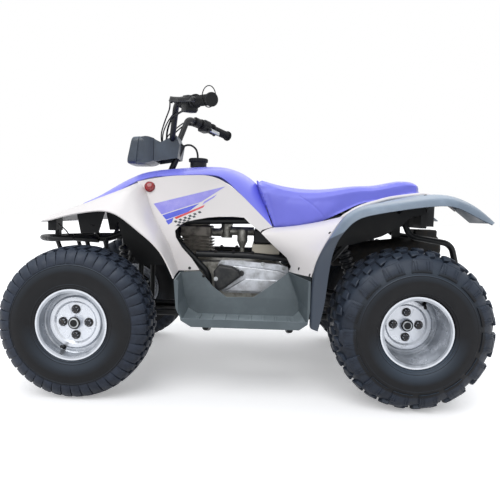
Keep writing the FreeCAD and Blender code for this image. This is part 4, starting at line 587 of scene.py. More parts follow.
def new_piece(name, parts, finish, body, stands_for=(), smooth=True, recalculate=True):
    """One object from its parts: doubles merged, faces outwards, its finish on, riding on a body."""
    points, faces = laid_together(parts)
    mesh = bpy.data.meshes.new(name)
    mesh.from_pydata(points.tolist(), [], faces)
    shape = bmesh.new()
    shape.from_mesh(mesh)
    bmesh.ops.remove_doubles(shape, verts=shape.verts, dist=1e-6)
    bmesh.ops.dissolve_degenerate(shape, edges=shape.edges, dist=1e-7)
    if recalculate:
        bmesh.ops.recalc_face_normals(shape, faces=shape.faces)
    shape.to_mesh(mesh)
    shape.free()
    if smooth:
        mesh.shade_smooth()
        mesh.set_sharp_from_angle(angle=SHARP_TURN)
    mesh.materials.append(finishes[finish])
    piece = bpy.data.objects.new(name, mesh)
    bpy.context.scene.collection.objects.link(piece)
    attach(piece, body)
    if stands_for:
        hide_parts(*stands_for)
    made[name] = sum(len(face.vertices) - 2 for face in mesh.polygons)
    return piece


# %% [markdown]
# ## Tyres
# A low-pressure tyre is a fat round carcass with moulded blocks. The carcass is a smooth curve turned round
# the axle. The blocks are laid on it in a second pair of coordinates: distance round the tyre, and how far
# out from its middle, so one small table of corners gives every block of the tread.

# %% Carcass and blocks
BLOCK_SKIRT = 2.5 * MM
RING_HALF_WIDTH, RING_FOOT = 0.012, 0.2 * MM


def carcass_curve(half_profile):
    """A half profile in (across, radius) mm made smooth and mirrored.

    Returns each point's distance from the crown as a share -1..1 of the half, the points and their normals.
    """
    half = smooth_path(np.array(half_profile) * MM, 6)
    whole = np.concatenate([half[:0:-1] * (-1, 1), half])
    slope = unit(np.gradient(whole, axis=0))
    run = np.concatenate([[0], np.cumsum(np.linalg.norm(np.diff(half, axis=0), axis=1))])
    run /= run[-1]
    return np.concatenate([-run[:0:-1], run]), whole, np.stack([-slope[:, 1], slope[:, 0]], -1)


def on_carcass(carcass, out, height):
    """The carcass point at a signed share out, moved along its normal by height."""
    share, points, normals = carcass
    spot = np.stack([np.interp(out, share, points[:, k]) for k in (0, 1)], -1)
    lift = unit(np.stack([np.interp(out, share, normals[:, k]) for k in (0, 1)], -1))
    return spot + lift * np.asarray(height)[..., None]


def tread_blocks(carcass, corners, count, phase=0.0):
    """One block repeated round a tyre.

    corners are four (pitch share, out, height in mm). A block is the bilinear patch between them: its rim
    starts below the skin, climbs a steep wall to a chamfer, and the top lies at the patch's own height.
    """
    ramp = np.array([0.0, 0.0, 0.1, 0.5, 0.9, 1.0, 1.0])
    lift = np.array([0.0, 0.84, 1.0, 1.0, 1.0, 0.84, 0.0])
    p, q = ramp[:, None, None], ramp[None, :, None]
    c = np.asarray(corners, float)
    flat = (1 - p) * (1 - q) * c[0] + (1 - p) * q * c[1] + p * q * c[2] + p * (1 - q) * c[3]
    wall = np.minimum(lift[:, None], lift[None, :])
    height = wall * (flat[..., 2] * MM + BLOCK_SKIRT) - BLOCK_SKIRT
    spot = on_carcass(carcass, flat[..., 1], height)
    angles = (np.arange(count)[:, None, None] + flat[..., 0] + phase) * 2 * math.pi / count
    return [net(np.stack([spot[..., 1] * np.sin(angle), spot[..., 0], spot[..., 1] * np.cos(angle)], -1))
            for angle in angles]


def other_edge(corners):
    """The same block on the tyre's other shoulder, turned end for end so that it leans the other way."""
    return [(1 - pitch, -out, height) for pitch, out, height in corners]


def spun(curve, around=120):
    """A curve of (across, radius) points carried round the tyre's axle, in coordinates about its centre."""
    angle = np.linspace(0, 2 * math.pi, around, endpoint=False)[:, None]
    across = np.broadcast_to(curve[:, 0], (around, len(curve)))
    return net(np.stack([curve[:, 1] * np.sin(angle), across, curve[:, 1] * np.cos(angle)], -1),
               close_rows=True)


def tyre(carcass, rows, rings, centre, side):
    """Carcass, blocks and sidewall rings about an axle: the left tyre as seen, the right one turned round."""
    parts = [spun(carcass[1])]
    for corners, count, phase in rows:
        parts += tread_blocks(carcass, corners, count, phase)
    bead = np.linspace(0, math.pi, 5)
    for out, proud in rings:
        for way in (1, -1):
            spread = way * (out + np.cos(bead) * RING_HALF_WIDTH)
            parts.append(spun(on_carcass(carcass, spread, np.sin(bead) * proud * MM - RING_FOOT)))
    turn = np.array([side, side, 1])
    return [(part * turn + centre, faces) for part, faces in parts]


FRONT_PROFILE = [(0, 233), (30, 232), (54, 228), (69, 220), (79, 206), (85, 189), (88.6, 168), (87.6, 147),
                 (82.4, 128), (77, 113), (75, 106)]
REAR_PROFILE = [(0, 241), (40, 240), (72, 236), (95, 227), (109, 212), (118.6, 194), (125.2, 172),
                (126, 150), (120, 130), (111, 117), (104.4, 112.5), (103, 106)]
FRONT_RINGS = ((0.575, 0.9), (0.90, 1.0), (0.94, 1.0))
REAR_RINGS = ((0.665, 0.8), (0.90, 1.2), (0.935, 1.0))
front_carcass = carcass_curve(FRONT_PROFILE)
rear_carcass = carcass_curve(REAR_PROFILE)

FRONT_COUNT = 43
front_shoulder = [(0.05, 0.335, 8), (0.05, 0.555, 1.6), (0.94, 0.555, 1.6), (0.94, 0.335, 8)]
front_step = [(0.30, 0.285, 8), (0.22, 0.352, 8), (0.94, 0.352, 8), (0.86, 0.285, 8)]
front_inner = [(0.10, 0.095, 8), (0.32, 0.255, 8), (0.98, 0.255, 8), (0.76, 0.095, 8)]
front_rib = [(0.02, -0.066, 8), (0.20, 0.066, 8), (0.92, 0.066, 8), (0.74, -0.066, 8)]
front_rows = [(front_rib, FRONT_COUNT, 0.0)]
for block, phase in ((front_shoulder, -0.5), (front_step, -0.5), (front_inner, -0.15)):
    front_rows += [(block, FRONT_COUNT, phase), (other_edge(block), FRONT_COUNT, phase + 0.5)]

REAR_COUNT = 15
rear_lug = [(0.15, 0.455, 10), (0.09, 0.625, 3.5), (0.86, 0.625, 3.5), (0.74, 0.455, 10)]
rear_neck = [(0.20, 0.410, 10.5), (0.17, 0.470, 9.8), (0.70, 0.470, 9.8), (0.56, 0.410, 10.5)]
rear_edge = [(0.10, 0.290, 11), (0.16, 0.395, 10.8), (0.62, 0.420, 10.5), (0.66, 0.300, 11)]
rear_knob = [(0.30, 0.055, 11), (0.20, 0.235, 11), (0.66, 0.255, 11), (0.78, 0.080, 11)]
rear_rows = []
for block, count, phase in ((rear_lug, REAR_COUNT, -0.46), (rear_neck, REAR_COUNT, -0.46),
                            (rear_edge, REAR_COUNT * 2, -0.08), (rear_knob, REAR_COUNT * 2, 0.32)):
    rear_rows += [(block, count, phase), (other_edge(block), count, phase + 0.5)]
for start in (0.20, 0.29, 0.62, 0.71):
    bar = [(start, 0.480, 10.6), (start - 0.02, 0.600, 5.2), (start + 0.025, 0.600, 5.2),
           (start + 0.03, 0.480, 10.6)]
    rear_rows += [(bar, REAR_COUNT, -0.46), (other_edge(bar), REAR_COUNT, 0.04)]

for word, side in SIDES:
    for end, carcass, rows, rings, body in (
            ("front", front_carcass, front_rows, FRONT_RINGS, "front_wheel_" + word),
            ("rear", rear_carcass, rear_rows, REAR_RINGS, "rear_wheels")):
        packed = f"{end}_tyre_{word}"
        new_piece(f"{end}_tyre_lugged_{word}", tyre(carcass, rows, rings, middle_of(packed), side),
                  end + "_vulcanised_rubber", body, (packed,), recalculate=False)
print("triangles:", made)

# %% [markdown]
# ## The padded saddle
# The saddle is moulded foam under a stretched cover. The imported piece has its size; here a copy is remeshed
# evenly and drawn in, air pressure in a cloth simulation rounds it as foam does, and each point may move
# only a few millimetres. The sewn seam across the side is pressed in last, as a narrow groove.

# %% Padded saddle
SEAT_CELL = 6 * MM
SEAT_DRAWN_IN = 3.5 * MM
SEAT_NOSE_OUT, SEAT_NOSE_FACING = 2 * MM, 0.6
SEAT_SWELL_CAP = 6 * MM
SEAT_UNDER, SEAT_UNDER_FADE = 0.6, 0.5
SEAT_PRESSURE = 4
SEAT_FRAMES = 20
SEAM_PLACES = [place(-188, 0, 664), place(-223, 0, 642), place(-250, 0, 620), place(-274, 0, 594)]
SEAM_WIDTH, SEAM_DEPTH = 2.6 * MM, 2.4 * MM
SEAM_SIDE, SEAM_SIDE_FADE = 0.45, 0.2


def points_of(mesh):
    """All corners of a mesh as one array."""
    flat = np.empty(len(mesh.vertices) * 3)
    mesh.vertices.foreach_get("co", flat)
    return flat.reshape(-1, 3)


def normals_of(mesh):
    """The normals at those corners."""
    flat = np.empty(len(mesh.vertices) * 3)
    mesh.vertex_normals.foreach_get("vector", flat)
    return flat.reshape(-1, 3)


def with_modifiers(piece):
    """The mesh that a piece's modifiers make of it, with the modifiers taken off the piece."""
    ready = bpy.data.meshes.new_from_object(piece.evaluated_get(bpy.context.evaluated_depsgraph_get()))
    piece.modifiers.clear()
    return ready


def seam_groove(points, normals):
    """Points near the seam pressed in: the depth is a bell curve of the distance to the seam's line."""
    line = smooth_path(np.array(SEAM_PLACES)[:, (0, 2)], 10)
    apart = np.linalg.norm(points[:, None, (0, 2)] - line[None], axis=2).min(axis=1)
    on_side = np.clip((np.abs(normals[:, 1]) - SEAM_SIDE) / SEAM_SIDE_FADE, 0, 1)
    return points - normals * (SEAM_DEPTH * on_side * np.exp(-(apart / SEAM_WIDTH) ** 2))[:, None]


def padded_seat():
    """The saddle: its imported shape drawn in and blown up, each move held to a cap, the seam pressed in."""
    source = nodes["seat"].data.copy()
    piece = bpy.data.objects.new("seat_cover", source)
    bpy.context.scene.collection.objects.link(piece)
    remesh = piece.modifiers.new("even", "REMESH")
    remesh.mode = "VOXEL"
    remesh.voxel_size = SEAT_CELL
    mesh = with_modifiers(piece)
    facing = normals_of(mesh)
    towards_nose = np.clip(facing[:, :1] / SEAT_NOSE_FACING, 0, 1)
    draw = SEAT_DRAWN_IN - (SEAT_DRAWN_IN + SEAT_NOSE_OUT) * towards_nose
    start = points_of(mesh) - facing * draw
    mesh.vertices.foreach_set("co", start.ravel())
    piece.data = mesh
    swollen = start
    cloth = piece.modifiers.new("foam", "CLOTH")
    cloth.settings.use_pressure = True
    cloth.settings.uniform_pressure_force = SEAT_PRESSURE
    cloth.settings.effector_weights.gravity = 0
    for step in range(1, SEAT_FRAMES + 1):
        bpy.context.scene.frame_set(step)
    swollen = points_of(with_modifiers(piece))
    bpy.context.scene.frame_set(1)
    move = swollen - start
    length = np.maximum(np.linalg.norm(move, axis=1, keepdims=True), 1e-9)
    held = np.clip((normals_of(mesh)[:, 2:] + SEAT_UNDER) / SEAT_UNDER_FADE, 0, 1)
    start = start + move * np.minimum(1, SEAT_SWELL_CAP / length) * held
    mesh.vertices.foreach_set("co", start.ravel())
    smoother = piece.modifiers.new("finer", "SUBSURF")
    smoother.levels = smoother.render_levels = 1
    fine = with_modifiers(piece)
    fine.vertices.foreach_set("co", seam_groove(points_of(fine), normals_of(fine)).ravel())
    fine.shade_smooth()
    fine.materials.clear()
    fine.materials.append(finishes["violet_embossed_leathercloth"])
    piece.data = fine
    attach(piece, "chassis")
    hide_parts("seat")
    print("seat cover:", len(fine.vertices), "corners, seam", len(SEAM_PLACES), "places")


padded_seat()

# %% [markdown]
# ## Setting small pieces on the bike
# Screws, bolts and stickers have to lie on whatever carries them. A point is sent along a straight way until
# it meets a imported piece, and the small piece is built at that place, square to the surface.


# %% Landing on a surface
def surface_of(*names):
    """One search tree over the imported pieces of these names."""
    points, faces = laid_together([
        (points_of(nodes[name].data), [list(face.vertices) for face in nodes[name].data.polygons])
        for name in names])
    return BVHTree.FromPolygons(points.tolist(), faces)


def landed(surface, start, way):
    """Place and outward normal where a straight way from start meets the surface."""
    hit, normal, _, _ = surface.ray_cast(Vector(start), Vector(way).normalized())
    if hit is None:
        raise ValueError(f"nothing lies on the way from {start} along {way}")
    normal = np.array(normal)
    return np.array(hit), normal * -math.copysign(1, normal @ np.asarray(way))


def screw(where, normal, radius, height, sides=24, recess=0.35):
    """A domed head with a round recess: quarter circle, flat and dip turned round the normal."""
    arc = np.linspace(0, math.pi / 2, 6)
    dome = np.stack([height * np.sin(arc) - 0.2 * MM, radius * (0.55 + 0.45 * np.cos(arc))], -1)
    dip = np.array([[height, radius * recess], [height * 0.35, radius * recess * 0.7], [height * 0.35, 0]])
    foot = np.array([[-1.5 * MM, 0], [-1.5 * MM, radius]])
    return turned(np.concatenate([foot, dome, dip]), where, normal, sides)


def hex_bolt(where, normal, flats, height):
    """A washer under a six-sided head with a chamfered top."""
    washer = turned(np.array([[-1, 0], [-1, flats * 0.85 / MM], [1.2, flats * 0.85 / MM], [1.2, 0]]) * MM,
                    where, normal, 24)
    corner = flats / math.sqrt(3)
    profile = np.array([[0, 0], [0, corner], [height * 0.85, corner], [height, corner * 0.84], [height, 0]])
    return [washer, turned(profile, where, normal, 6)]


TO_RIGHT = np.array([1, -1, 1])


def mirrored(parts):
    """Parts of the left side moved to the right: y changes its sign, and the faces turn back outwards."""
    return [(points * TO_RIGHT, [face[::-1] for face in faces]) for points, faces in parts]


def both_halves(parts):
    """Parts on the left with their mirror images on the right."""
    return parts + mirrored(parts)


# %% [markdown]
# ## Wheel dressing
# Each rim has a rubber valve, a black cap with a bright ring on its dust cap, and four dark nuts over
# washers. They are turned pieces placed round the axle, on the face of the disc.

# %% Nuts, caps and valves
NUT_CIRCLE, NUT_FLATS, NUT_HEIGHT = 41 * MM, 17 * MM, 13 * MM
NUT_COUNT = 4
CAP_PROFILE = np.array([[-3, 19], [1.5, 19], [3.4, 16], [4.2, 9], [4.4, 0]]) * MM
CAP_RING = np.array([[1.0, 11.0], [4.9, 11.5], [5.3, 13.2], [4.2, 15.2], [1.0, 15.6]]) * MM
VALVE_PROFILE = np.array([[-4, 0], [-4, 7], [3, 6.4], [8, 4.4], [22, 4.2], [23, 5], [34, 5], [35, 4.2],
                          [35, 0]]) * MM
VALVE_CIRCLE = 90 * MM
VALVE_WAYS = {"front": (0.42, 0, -0.91), "rear": (-0.62, 0, 0.78)}
VALVE_SPREAD = 0.6
VALVE_LEAN = (-0.4, 0, -0.4)
DISC_FACE = 27 * MM
BESIDE_WHEEL = 0.3


def wheel_dressing(end, word, side, body):
    """Nuts, cap, ring and valve of one wheel, on the disc face that a straight way along the axle meets."""
    surface = surface_of(f"{end}_rim_{word}")
    hub = middle_of(f"{end}_tyre_{word}")
    out = np.array([0, side, 0])
    face, _ = landed(surface, hub + (DISC_FACE, BESIDE_WHEEL * side, 0), -out)
    nuts = []
    for angle in math.pi / 2 * np.arange(NUT_COUNT):
        ring = NUT_CIRCLE * np.array([math.sin(angle), 0, math.cos(angle)])
        nuts += hex_bolt(hub * (1, 0, 1) + face * (0, 1, 0) + ring, out, NUT_FLATS, NUT_HEIGHT)
    new_piece(f"{end}_wheel_nuts_{word}", nuts, "dark_oxide_steel", body)
    top, _ = landed(surface, hub + (0, BESIDE_WHEEL * side, 0), -out)
    new_piece(f"{end}_hub_cap_{word}", [turned(CAP_PROFILE, top, out, 40)], "black_grained_polypropylene",
              body)
    new_piece(f"{end}_hub_ring_{word}", [turned(CAP_RING, top, out, 40)], "zinc_plated_steel", body)
    reach = unit(np.array(VALVE_WAYS[end]))
    tilt = unit(reach + (0, side * VALVE_SPREAD, 0))
    foot, _ = landed(surface, hub + VALVE_CIRCLE * reach + (0, BESIDE_WHEEL * side, 0), -out)
    valve = turned(VALVE_PROFILE, foot, unit(out + tilt * VALVE_LEAN), 20)
    new_piece(f"{end}_valve_{word}", [valve], "hose_moulded_rubber", body)


for word, side in SIDES:
    wheel_dressing("front", word, side, "front_wheel_" + word)
    wheel_dressing("rear", word, side, "rear_wheels")
print("wheels dressed")

# %% [markdown]
# ## Handlebar controls
# A cable brake lever has a flat cast blade, wide enough for gloves, with a ball at its end. The switch box
# on the left and the throttle box on the right clamp the bar beside the grips. Everything here follows the
# sloping outer part of the bar, so the pieces are laid out along it, ahead of it and above it.

# %% Levers, boxes and grips
BAR_END, BAR_BEND = place(119, 355, 952), place(268, 138, 986)
BAR_WAY = unit(BAR_BEND - BAR_END)
BAR_FORE = unit(np.cross((0, 0, 1), BAR_WAY))
BAR_UP = np.cross(BAR_WAY, BAR_FORE)


def beside_bar(along, fore=0.0, up=0.0):
    """Millimetres along the bar from its left end, ahead of it and above it, as a place."""
    return BAR_END + MM * (along * BAR_WAY + fore * BAR_FORE + up * BAR_UP)


def flat_bar(path, half_wide, half_thick, wide_way, around=16):
    """A path swept with an oval section: half_wide along wide_way, half_thick square to it."""
    path = np.asarray(path, float)
    along = unit(np.gradient(path, axis=0))
    wide = unit(wide_way - along * (along @ wide_way)[:, None])
    thin = np.cross(along, wide)
    angle = np.linspace(0, 2 * math.pi, around, endpoint=False)[None, :, None]
    half_wide = np.broadcast_to(half_wide, len(path))[:, None, None]
    half_thick = np.broadcast_to(half_thick, len(path))[:, None, None]
    rings = (path[:, None] + half_wide * np.cos(angle) * wide[:, None]
             + half_thick * np.sin(angle) * thin[:, None])
    return capped(*net(rings, close_columns=True), around)


def bar_box(low, high, radius):
    """A rounded box laid along the bar: its corners are millimetres along, ahead and above."""
    points, faces = rounded_box(np.array(low) * MM, np.array(high) * MM, radius * MM)
    return BAR_END + points @ np.stack([BAR_WAY, BAR_FORE, BAR_UP]), faces


LEVER_BALL = 9 * MM
CLAMP_SCREWS = (196, 214)
lever_line = smooth_path([beside_bar(207, 44, 4), beside_bar(196, 50, 3), beside_bar(170, 44, 2),
                          beside_bar(120, 40, 0), beside_bar(80, 39, -2), beside_bar(50, 41, -3)], 6)
run = np.linspace(0, 1, len(lever_line))
blade = flat_bar(lever_line, (9.5 - 2.5 * run) * MM, (6.5 - 1.0 * run) * MM, BAR_UP)
tip = turned(np.stack([LEVER_BALL * -np.cos(run * math.pi), LEVER_BALL * np.sin(run * math.pi)], -1),
             beside_bar(47, 41, -3), BAR_WAY, 20)
arm = flat_bar(smooth_path([beside_bar(205, 2, 2), beside_bar(205, 22, 3), beside_bar(206, 46, 4)], 6),
               9 * MM, 6 * MM, BAR_WAY)
barrel = tube([beside_bar(206, 46, -9), beside_bar(206, 46, 13)], 5.5 * MM, 20)
adjuster = tube([beside_bar(206, 44, 2), beside_bar(226, 42, 1), beside_bar(227, 42, 1)], 4.6 * MM, 16)
clamp_screws = [screw(beside_bar(along, 6, 17), BAR_UP, 3.4 * MM, 2.5 * MM) for along in CLAMP_SCREWS]
new_piece("brake_levers", both_halves([blade, tip]), "black_painted_casting", "steering")
new_piece("lever_perches", both_halves([arm, barrel, adjuster]), "black_painted_casting", "steering")
new_piece("perch_screws", both_halves(clamp_screws), "dark_oxide_steel", "steering")

switch_parts = [bar_box((132, -22, -36), (178, 22, 20), 7), bar_box((138, -26, -30), (172, -12, 2), 4)]
new_piece("switch_box", switch_parts, "black_grained_polypropylene", "steering")
buttons = [bar_box((142, -30, -8), (152, -22, 4), 2.5), bar_box((158, -30, -24), (168, -22, -12), 2.5)]
new_piece("switch_buttons", buttons, "red_moulded_acrylic", "steering")
throttle_parts = [bar_box((134, -20, -28), (180, 24, 22), 8), bar_box((146, -34, -24), (160, -14, -12), 3)]
new_piece("throttle_box", mirrored(throttle_parts), "black_grained_polypropylene", "steering")
thumb_line = [beside_bar(152, -28, -18), beside_bar(128, -38, -24), beside_bar(108, -42, -26)]
thumb = flat_bar(smooth_path(thumb_line, 6), 8 * MM, 3 * MM, BAR_UP)
new_piece("thumb_lever", mirrored([thumb]), "zinc_plated_steel", "steering")

RIB_PLACES = np.linspace(12, 104, 24)
RIB_RADII = np.array([17.0, 17.9, 17.0]) * MM
ribs = [tube([beside_bar(along + step) for step in (-0.9, 0, 0.9)], RIB_RADII, 32) for along in RIB_PLACES]
new_piece("grip_ribs", both_halves(ribs), "grip_moulded_rubber", "steering")
LOOP_FORE, LOOP_UP, LOOP_RADIUS = 24 * MM, 33 * MM, 1.6 * MM
loop_turn = np.linspace(0, 2 * math.pi, 41)[:, None]
loop_line = (beside_bar(18, 0, 10) + LOOP_FORE * np.cos(loop_turn) * BAR_FORE
             + LOOP_UP * np.sin(loop_turn) * BAR_UP)
new_piece("grip_loop", [tube(loop_line, LOOP_RADIUS, 10)], "hose_moulded_rubber", "steering")
print("pieces up to the controls:", len(made))

# %% [markdown]
# ## Control cables
# Brake and throttle cables are steel wire in a black sheath. They leave the levers towards the middle, drop
# in a slack bow and go down behind the lamp, held at both ends, so they turn with the bar.

# %% Cables from the bar
def hose(name, route, radius_mm, body, steps=10, around=12, stands_for=()):
    """A rubber line: a round tube along the smooth curve through the places of its route."""
    line = tube(smooth_path(route, steps), radius_mm * MM, around)
    new_piece(name, [line], "hose_moulded_rubber", body, stands_for)


CABLES = {
    "brake_cable_left": (2.6, [beside_bar(226, 42, 1), place(291, 150, 962), place(316, 95, 934),
                               place(338, 50, 900), place(343, 34, 872), place(338, 28, 845)]),
    "parking_cable": (2.4, [beside_bar(214, 24, -4), place(272, 158, 950), place(306, 100, 926),
                            place(330, 58, 896), place(337, 40, 868), place(334, 34, 845)]),
    "switch_loom": (3.6, [beside_bar(168, 8, -26), place(256, 170, 943), place(288, 110, 938),
                          place(312, 62, 912), place(322, 36, 880), place(318, 30, 850)]),
    "brake_cable_right": (2.6, [beside_bar(226, 42, 1) * TO_RIGHT, place(292, -140, 964),
                                place(314, -88, 930), place(334, -44, 896), place(341, -30, 868),
                                place(336, -26, 845)]),
    "throttle_cable": (2.8, [beside_bar(176, 10, 2) * TO_RIGHT, place(262, -160, 972), place(288, -104, 944),
                             place(310, -56, 908), place(320, -34, 878), place(316, -28, 850)]),
}
NOSE_CABLE = [place(716, 92, 540), place(704, 100, 531), place(686, 102, 516), place(673, 101, 498),
              place(666, 98, 484)]
for name, (radius, route) in CABLES.items():
    hose(name, route, radius, "steering")
hose("nose_cable", NOSE_CABLE, 2.4, "chassis", 8, 10)
print("cables:", len(CABLES) + 1)

# %% [markdown]
# ## Headlamp rim and glass
# The lamp's lens is clear acrylic, bowed like the housing's front. A grooved rim of grained plastic holds it.


# %% Headlamp rim and glass
def squarish(turn, power=0.32):
    """A rounded rectangle as a superellipse: cosine and sine raised to a small power, sign kept."""
    return [np.sign(wave) * np.abs(wave) ** power for wave in (np.cos(turn), np.sin(turn))]


def lamp_ring(x_low, x_high, wide, low, high, around=64):
    """One ring of the lamp: squarish across, leaning from x_low at its foot to x_high at its top."""
    across, rise = squarish(np.linspace(0, 2 * math.pi, around, endpoint=False))
    share = (rise + 1) / 2
    return np.stack([middle_x + (x_low + (x_high - x_low) * share) * MM, across * wide * MM,
                     (low + (high - low) * share) * MM], -1)


def lamp_shell(rings):
    """The rings of one part of the lamp joined in a net."""
    return net(np.stack([lamp_ring(*ring) for ring in rings]), close_columns=True)


BEZEL_RINGS = [(398, 395, 69, 779, 876), (399, 396, 73, 775, 879), (404, 400, 74, 774, 880),
               (425, 415, 75, 773, 880), (427, 416, 72.5, 775, 878), (430, 418, 72.5, 775, 878),
               (432, 420, 75, 773, 880), (460, 442, 74, 773, 878), (466, 446, 72, 776, 875),
               (467, 447, 68, 781, 870), (461, 441, 65, 785, 866), (445, 430, 62, 790, 862)]
GLASS_RINGS = [(452, 434, 63.5, 787, 864), (461, 443, 61, 790, 861), (465, 447, 50, 800, 850),
               (467, 449, 30, 812, 838), (467.5, 449.5, 1, 825, 826)]
new_piece("headlamp_bezel", [lamp_shell(BEZEL_RINGS)], "lamp_grained_polypropylene", "steering",
          recalculate=False)
new_piece("headlamp_glass", [lamp_shell(GLASS_RINGS)], "clear_moulded_acrylic", "steering")

# %% [markdown]
# ## Edges of the rear body
# A white moulded band follows the lower edge of each rear side panel and runs out along the mudguard. A thin
# lip closes the joint between foot well and side panel, and a thick lead runs down in front of the cylinder.

# %% Bands, lips and lead
BAND = [(-300, 526), (-322, 562), (-338, 590), (-360, 607), (-390, 626), (-425, 641), (-464, 653),
        (-505, 665), (-551, 673), (-598, 680), (-630, 683)]
BAND_ACROSS, BAND_RADIUS = 157, 6.5 * MM
TAIL_PLACES, TAIL_ACROSS, TAIL_START = (-660, -690, -720, -740), 163, 760
TAIL_SUNK = (0, 0, 3 * MM)
fender = surface_of("rear_fender")
band_line = [place(x, BAND_ACROSS, z) for x, z in BAND]
for x in TAIL_PLACES:
    spot, _ = landed(fender, place(x, TAIL_ACROSS, TAIL_START), (0, 0, -1))
    band_line.append(spot - TAIL_SUNK)
band = tube(smooth_path(band_line, 6), BAND_RADIUS, 12)
new_piece("fender_edge_bands", both_halves([band]), "white_moulded_polypropylene", "chassis")


def plate(outline, inner, outer):
    """A flat plate across the bike: an outline in length and height, from one width to another, in mm."""
    ring = np.array([place(x, 0, z) for x, z in outline])
    middle = np.repeat(ring.mean(axis=0)[None], len(ring), 0)
    widths = [(middle, inner), (ring, inner), (ring, outer), (middle, outer)]
    return net(np.stack([line + (0, width * MM, 0) for line, width in widths]), close_columns=True)


HEEL = [(-151, 396), (-230, 398), (-235, 359), (-184, 370), (-148, 384)]
HEEL_INNER, HEEL_OUTER = 180, 184
new_piece("footboard_heels", both_halves([plate(HEEL, HEEL_INNER, HEEL_OUTER)]),
          "grey_grained_polypropylene", "chassis", smooth=False)
LEAD = [place(280, 40, 530), place(274, 40, 513), place(267, 40, 496), place(255, 40, 480),
        place(238, 40, 458)]
hose("ignition_lead", LEAD, 8, "chassis", 6, 14)

# %% [markdown]
# ## Fuel cap and its hose
# The cap has moulded ribs for the fingers under a flange. Its breather is a short rubber hose that bends over
# to the steering column.

# %% Cap ribs, flange and breather
CAP_RIBS, CAP_RIB_OUT, CAP_RIB_RADIUS = 28, 3.6 * MM, 1.9 * MM
CAP_RIB_DEPTHS = (13 * MM, 2 * MM)
CAP_FLANGE = np.array([[-15, 30], [-15, 35], [-13.5, 36], [-1.5, 36], [0, 34.5], [0.4, 30], [-1.5, 26]]) * MM
CAP_FLANGE_LIFT = 0.6 * MM
cap_low, cap_high = (np.array(corner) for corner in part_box("fuel_cap"))
cap_middle = (cap_low + cap_high) / 2 * (1, 1, 0)
cap_radius = (cap_high[0] - cap_low[0]) / 2
cap_ribs = []
for angle in np.arange(CAP_RIBS) * 2 * math.pi / CAP_RIBS:
    spot = cap_middle + (cap_radius + CAP_RIB_OUT) * np.array([math.cos(angle), math.sin(angle), 0])
    line = [spot + (0, 0, cap_high[2] - depth) for depth in CAP_RIB_DEPTHS]
    cap_ribs.append(tube(line, CAP_RIB_RADIUS, 8))
new_piece("fuel_cap_ribs", cap_ribs, "black_grained_polypropylene", "chassis")
flange = turned(CAP_FLANGE, cap_middle + (0, 0, cap_high[2] + CAP_FLANGE_LIFT), (0, 0, 1), 56)
new_piece("fuel_cap_rim", [flange], "black_grained_polypropylene", "chassis")
BREATHER = [place(206, 0, 800), place(207, 0, 822), place(214, 0, 842), place(230, 0, 855),
            place(248, 0, 857), place(263, 0, 851), place(271, 0, 846)]
hose("breather_hose", BREATHER, 3.8, "chassis", 8, 16, ("vent_hose",))

# %% [markdown]
# ## Reflectors and foot bars
# Each reflector is a red dome on the side cover. The foot wells have raised bars, so that a boot doesn't
# slip.

# %% Domes and bars
DOME = np.array([[-3, 0], [-3, 17.8], [0, 17.8], [3.0, 16], [5.6, 11.5], [7.0, 6], [7.4, 0]]) * MM
DOME_START, DOME_AXIS = place(354, 400, 684), (0, 1, 0.25)
spot, _ = landed(surface_of("reflectors"), DOME_START, (0, -1, 0))
new_piece("reflector_domes", both_halves([turned(smooth_path(DOME, 3), spot, DOME_AXIS, 32)]),
          "red_moulded_acrylic", "chassis")

FOOT_BARS, FOOT_BAR_EDGE = np.linspace(-150, 150, 8), 1.8 * MM
FOOT_BAR_BELOW, FOOT_BAR_ABOVE = np.array([4, 62, 2]) * MM, np.array([4, 62, 3]) * MM
board = surface_of("footboard_left")
foot_bars = []
for along in FOOT_BARS:
    spot, _ = landed(board, place(along, 320, 360), (0, 0, -1))
    foot_bars.append(rounded_box(spot - FOOT_BAR_BELOW, spot + FOOT_BAR_ABOVE, FOOT_BAR_EDGE))
new_piece("foot_bars", both_halves(foot_bars), "grey_grained_polypropylene", "chassis")

# %% [markdown]
# ## Screws and bolts
# Button-head screws hold the panels together, and flanged bolts hold the covers of the engine. Each one is
# sent from the camera's side onto the panel that it fastens.

# %% Fasteners
PANEL_SCREWS = [(201, 200, 398), (-437, 230, 648), (-608, 230, 676), (-293, 190, 537), (-226, 205, 386),
                (-187, 205, 408), (150, 205, 372)]
PANEL_SCREW = (5.2 * MM, 2.4 * MM)
CASE_BOLT = (9 * MM, 5 * MM)
RAIL_BOLTS, RAIL_BOLT = (115, 50, -20), (10 * MM, 6 * MM)
panels = surface_of("front_fender", "rear_fender", "rear_panel_left", "footboard_left")
screws = []
for spot in PANEL_SCREWS:
    way = place(*spot) - CAMERA_PLACE
    where, normal = landed(panels, CAMERA_PLACE, way)
    screws.append(screw(where, normal, *PANEL_SCREW))
new_piece("panel_screws", both_halves(screws), "black_powder_coated_steel", "chassis")

CASE_BOLTS = [(88, 417), (18, 417), (-60, 413), (-138, 399), (-146, 364), (-128, 324), (-60, 309), (10, 309),
              (72, 309), (108, 360)]
covers = surface_of("belt_case", "starter_cover")
bolts = []
for x, z in CASE_BOLTS:
    where, _ = landed(covers, place(x, 300, z), (0, -1, 0))
    bolts += hex_bolt(where, (0, 1, 0), *CASE_BOLT)
new_piece("case_bolts", bolts, "zinc_plated_steel", "chassis")
rail = surface_of("frame_mid_left")
studs = []
for x in RAIL_BOLTS:
    where, normal = landed(rail, place(x, 135, 520), (0, 0, -1))
    studs += hex_bolt(where, normal, *RAIL_BOLT)
new_piece("rail_bolts", both_halves(studs), "dark_oxide_steel", "chassis")

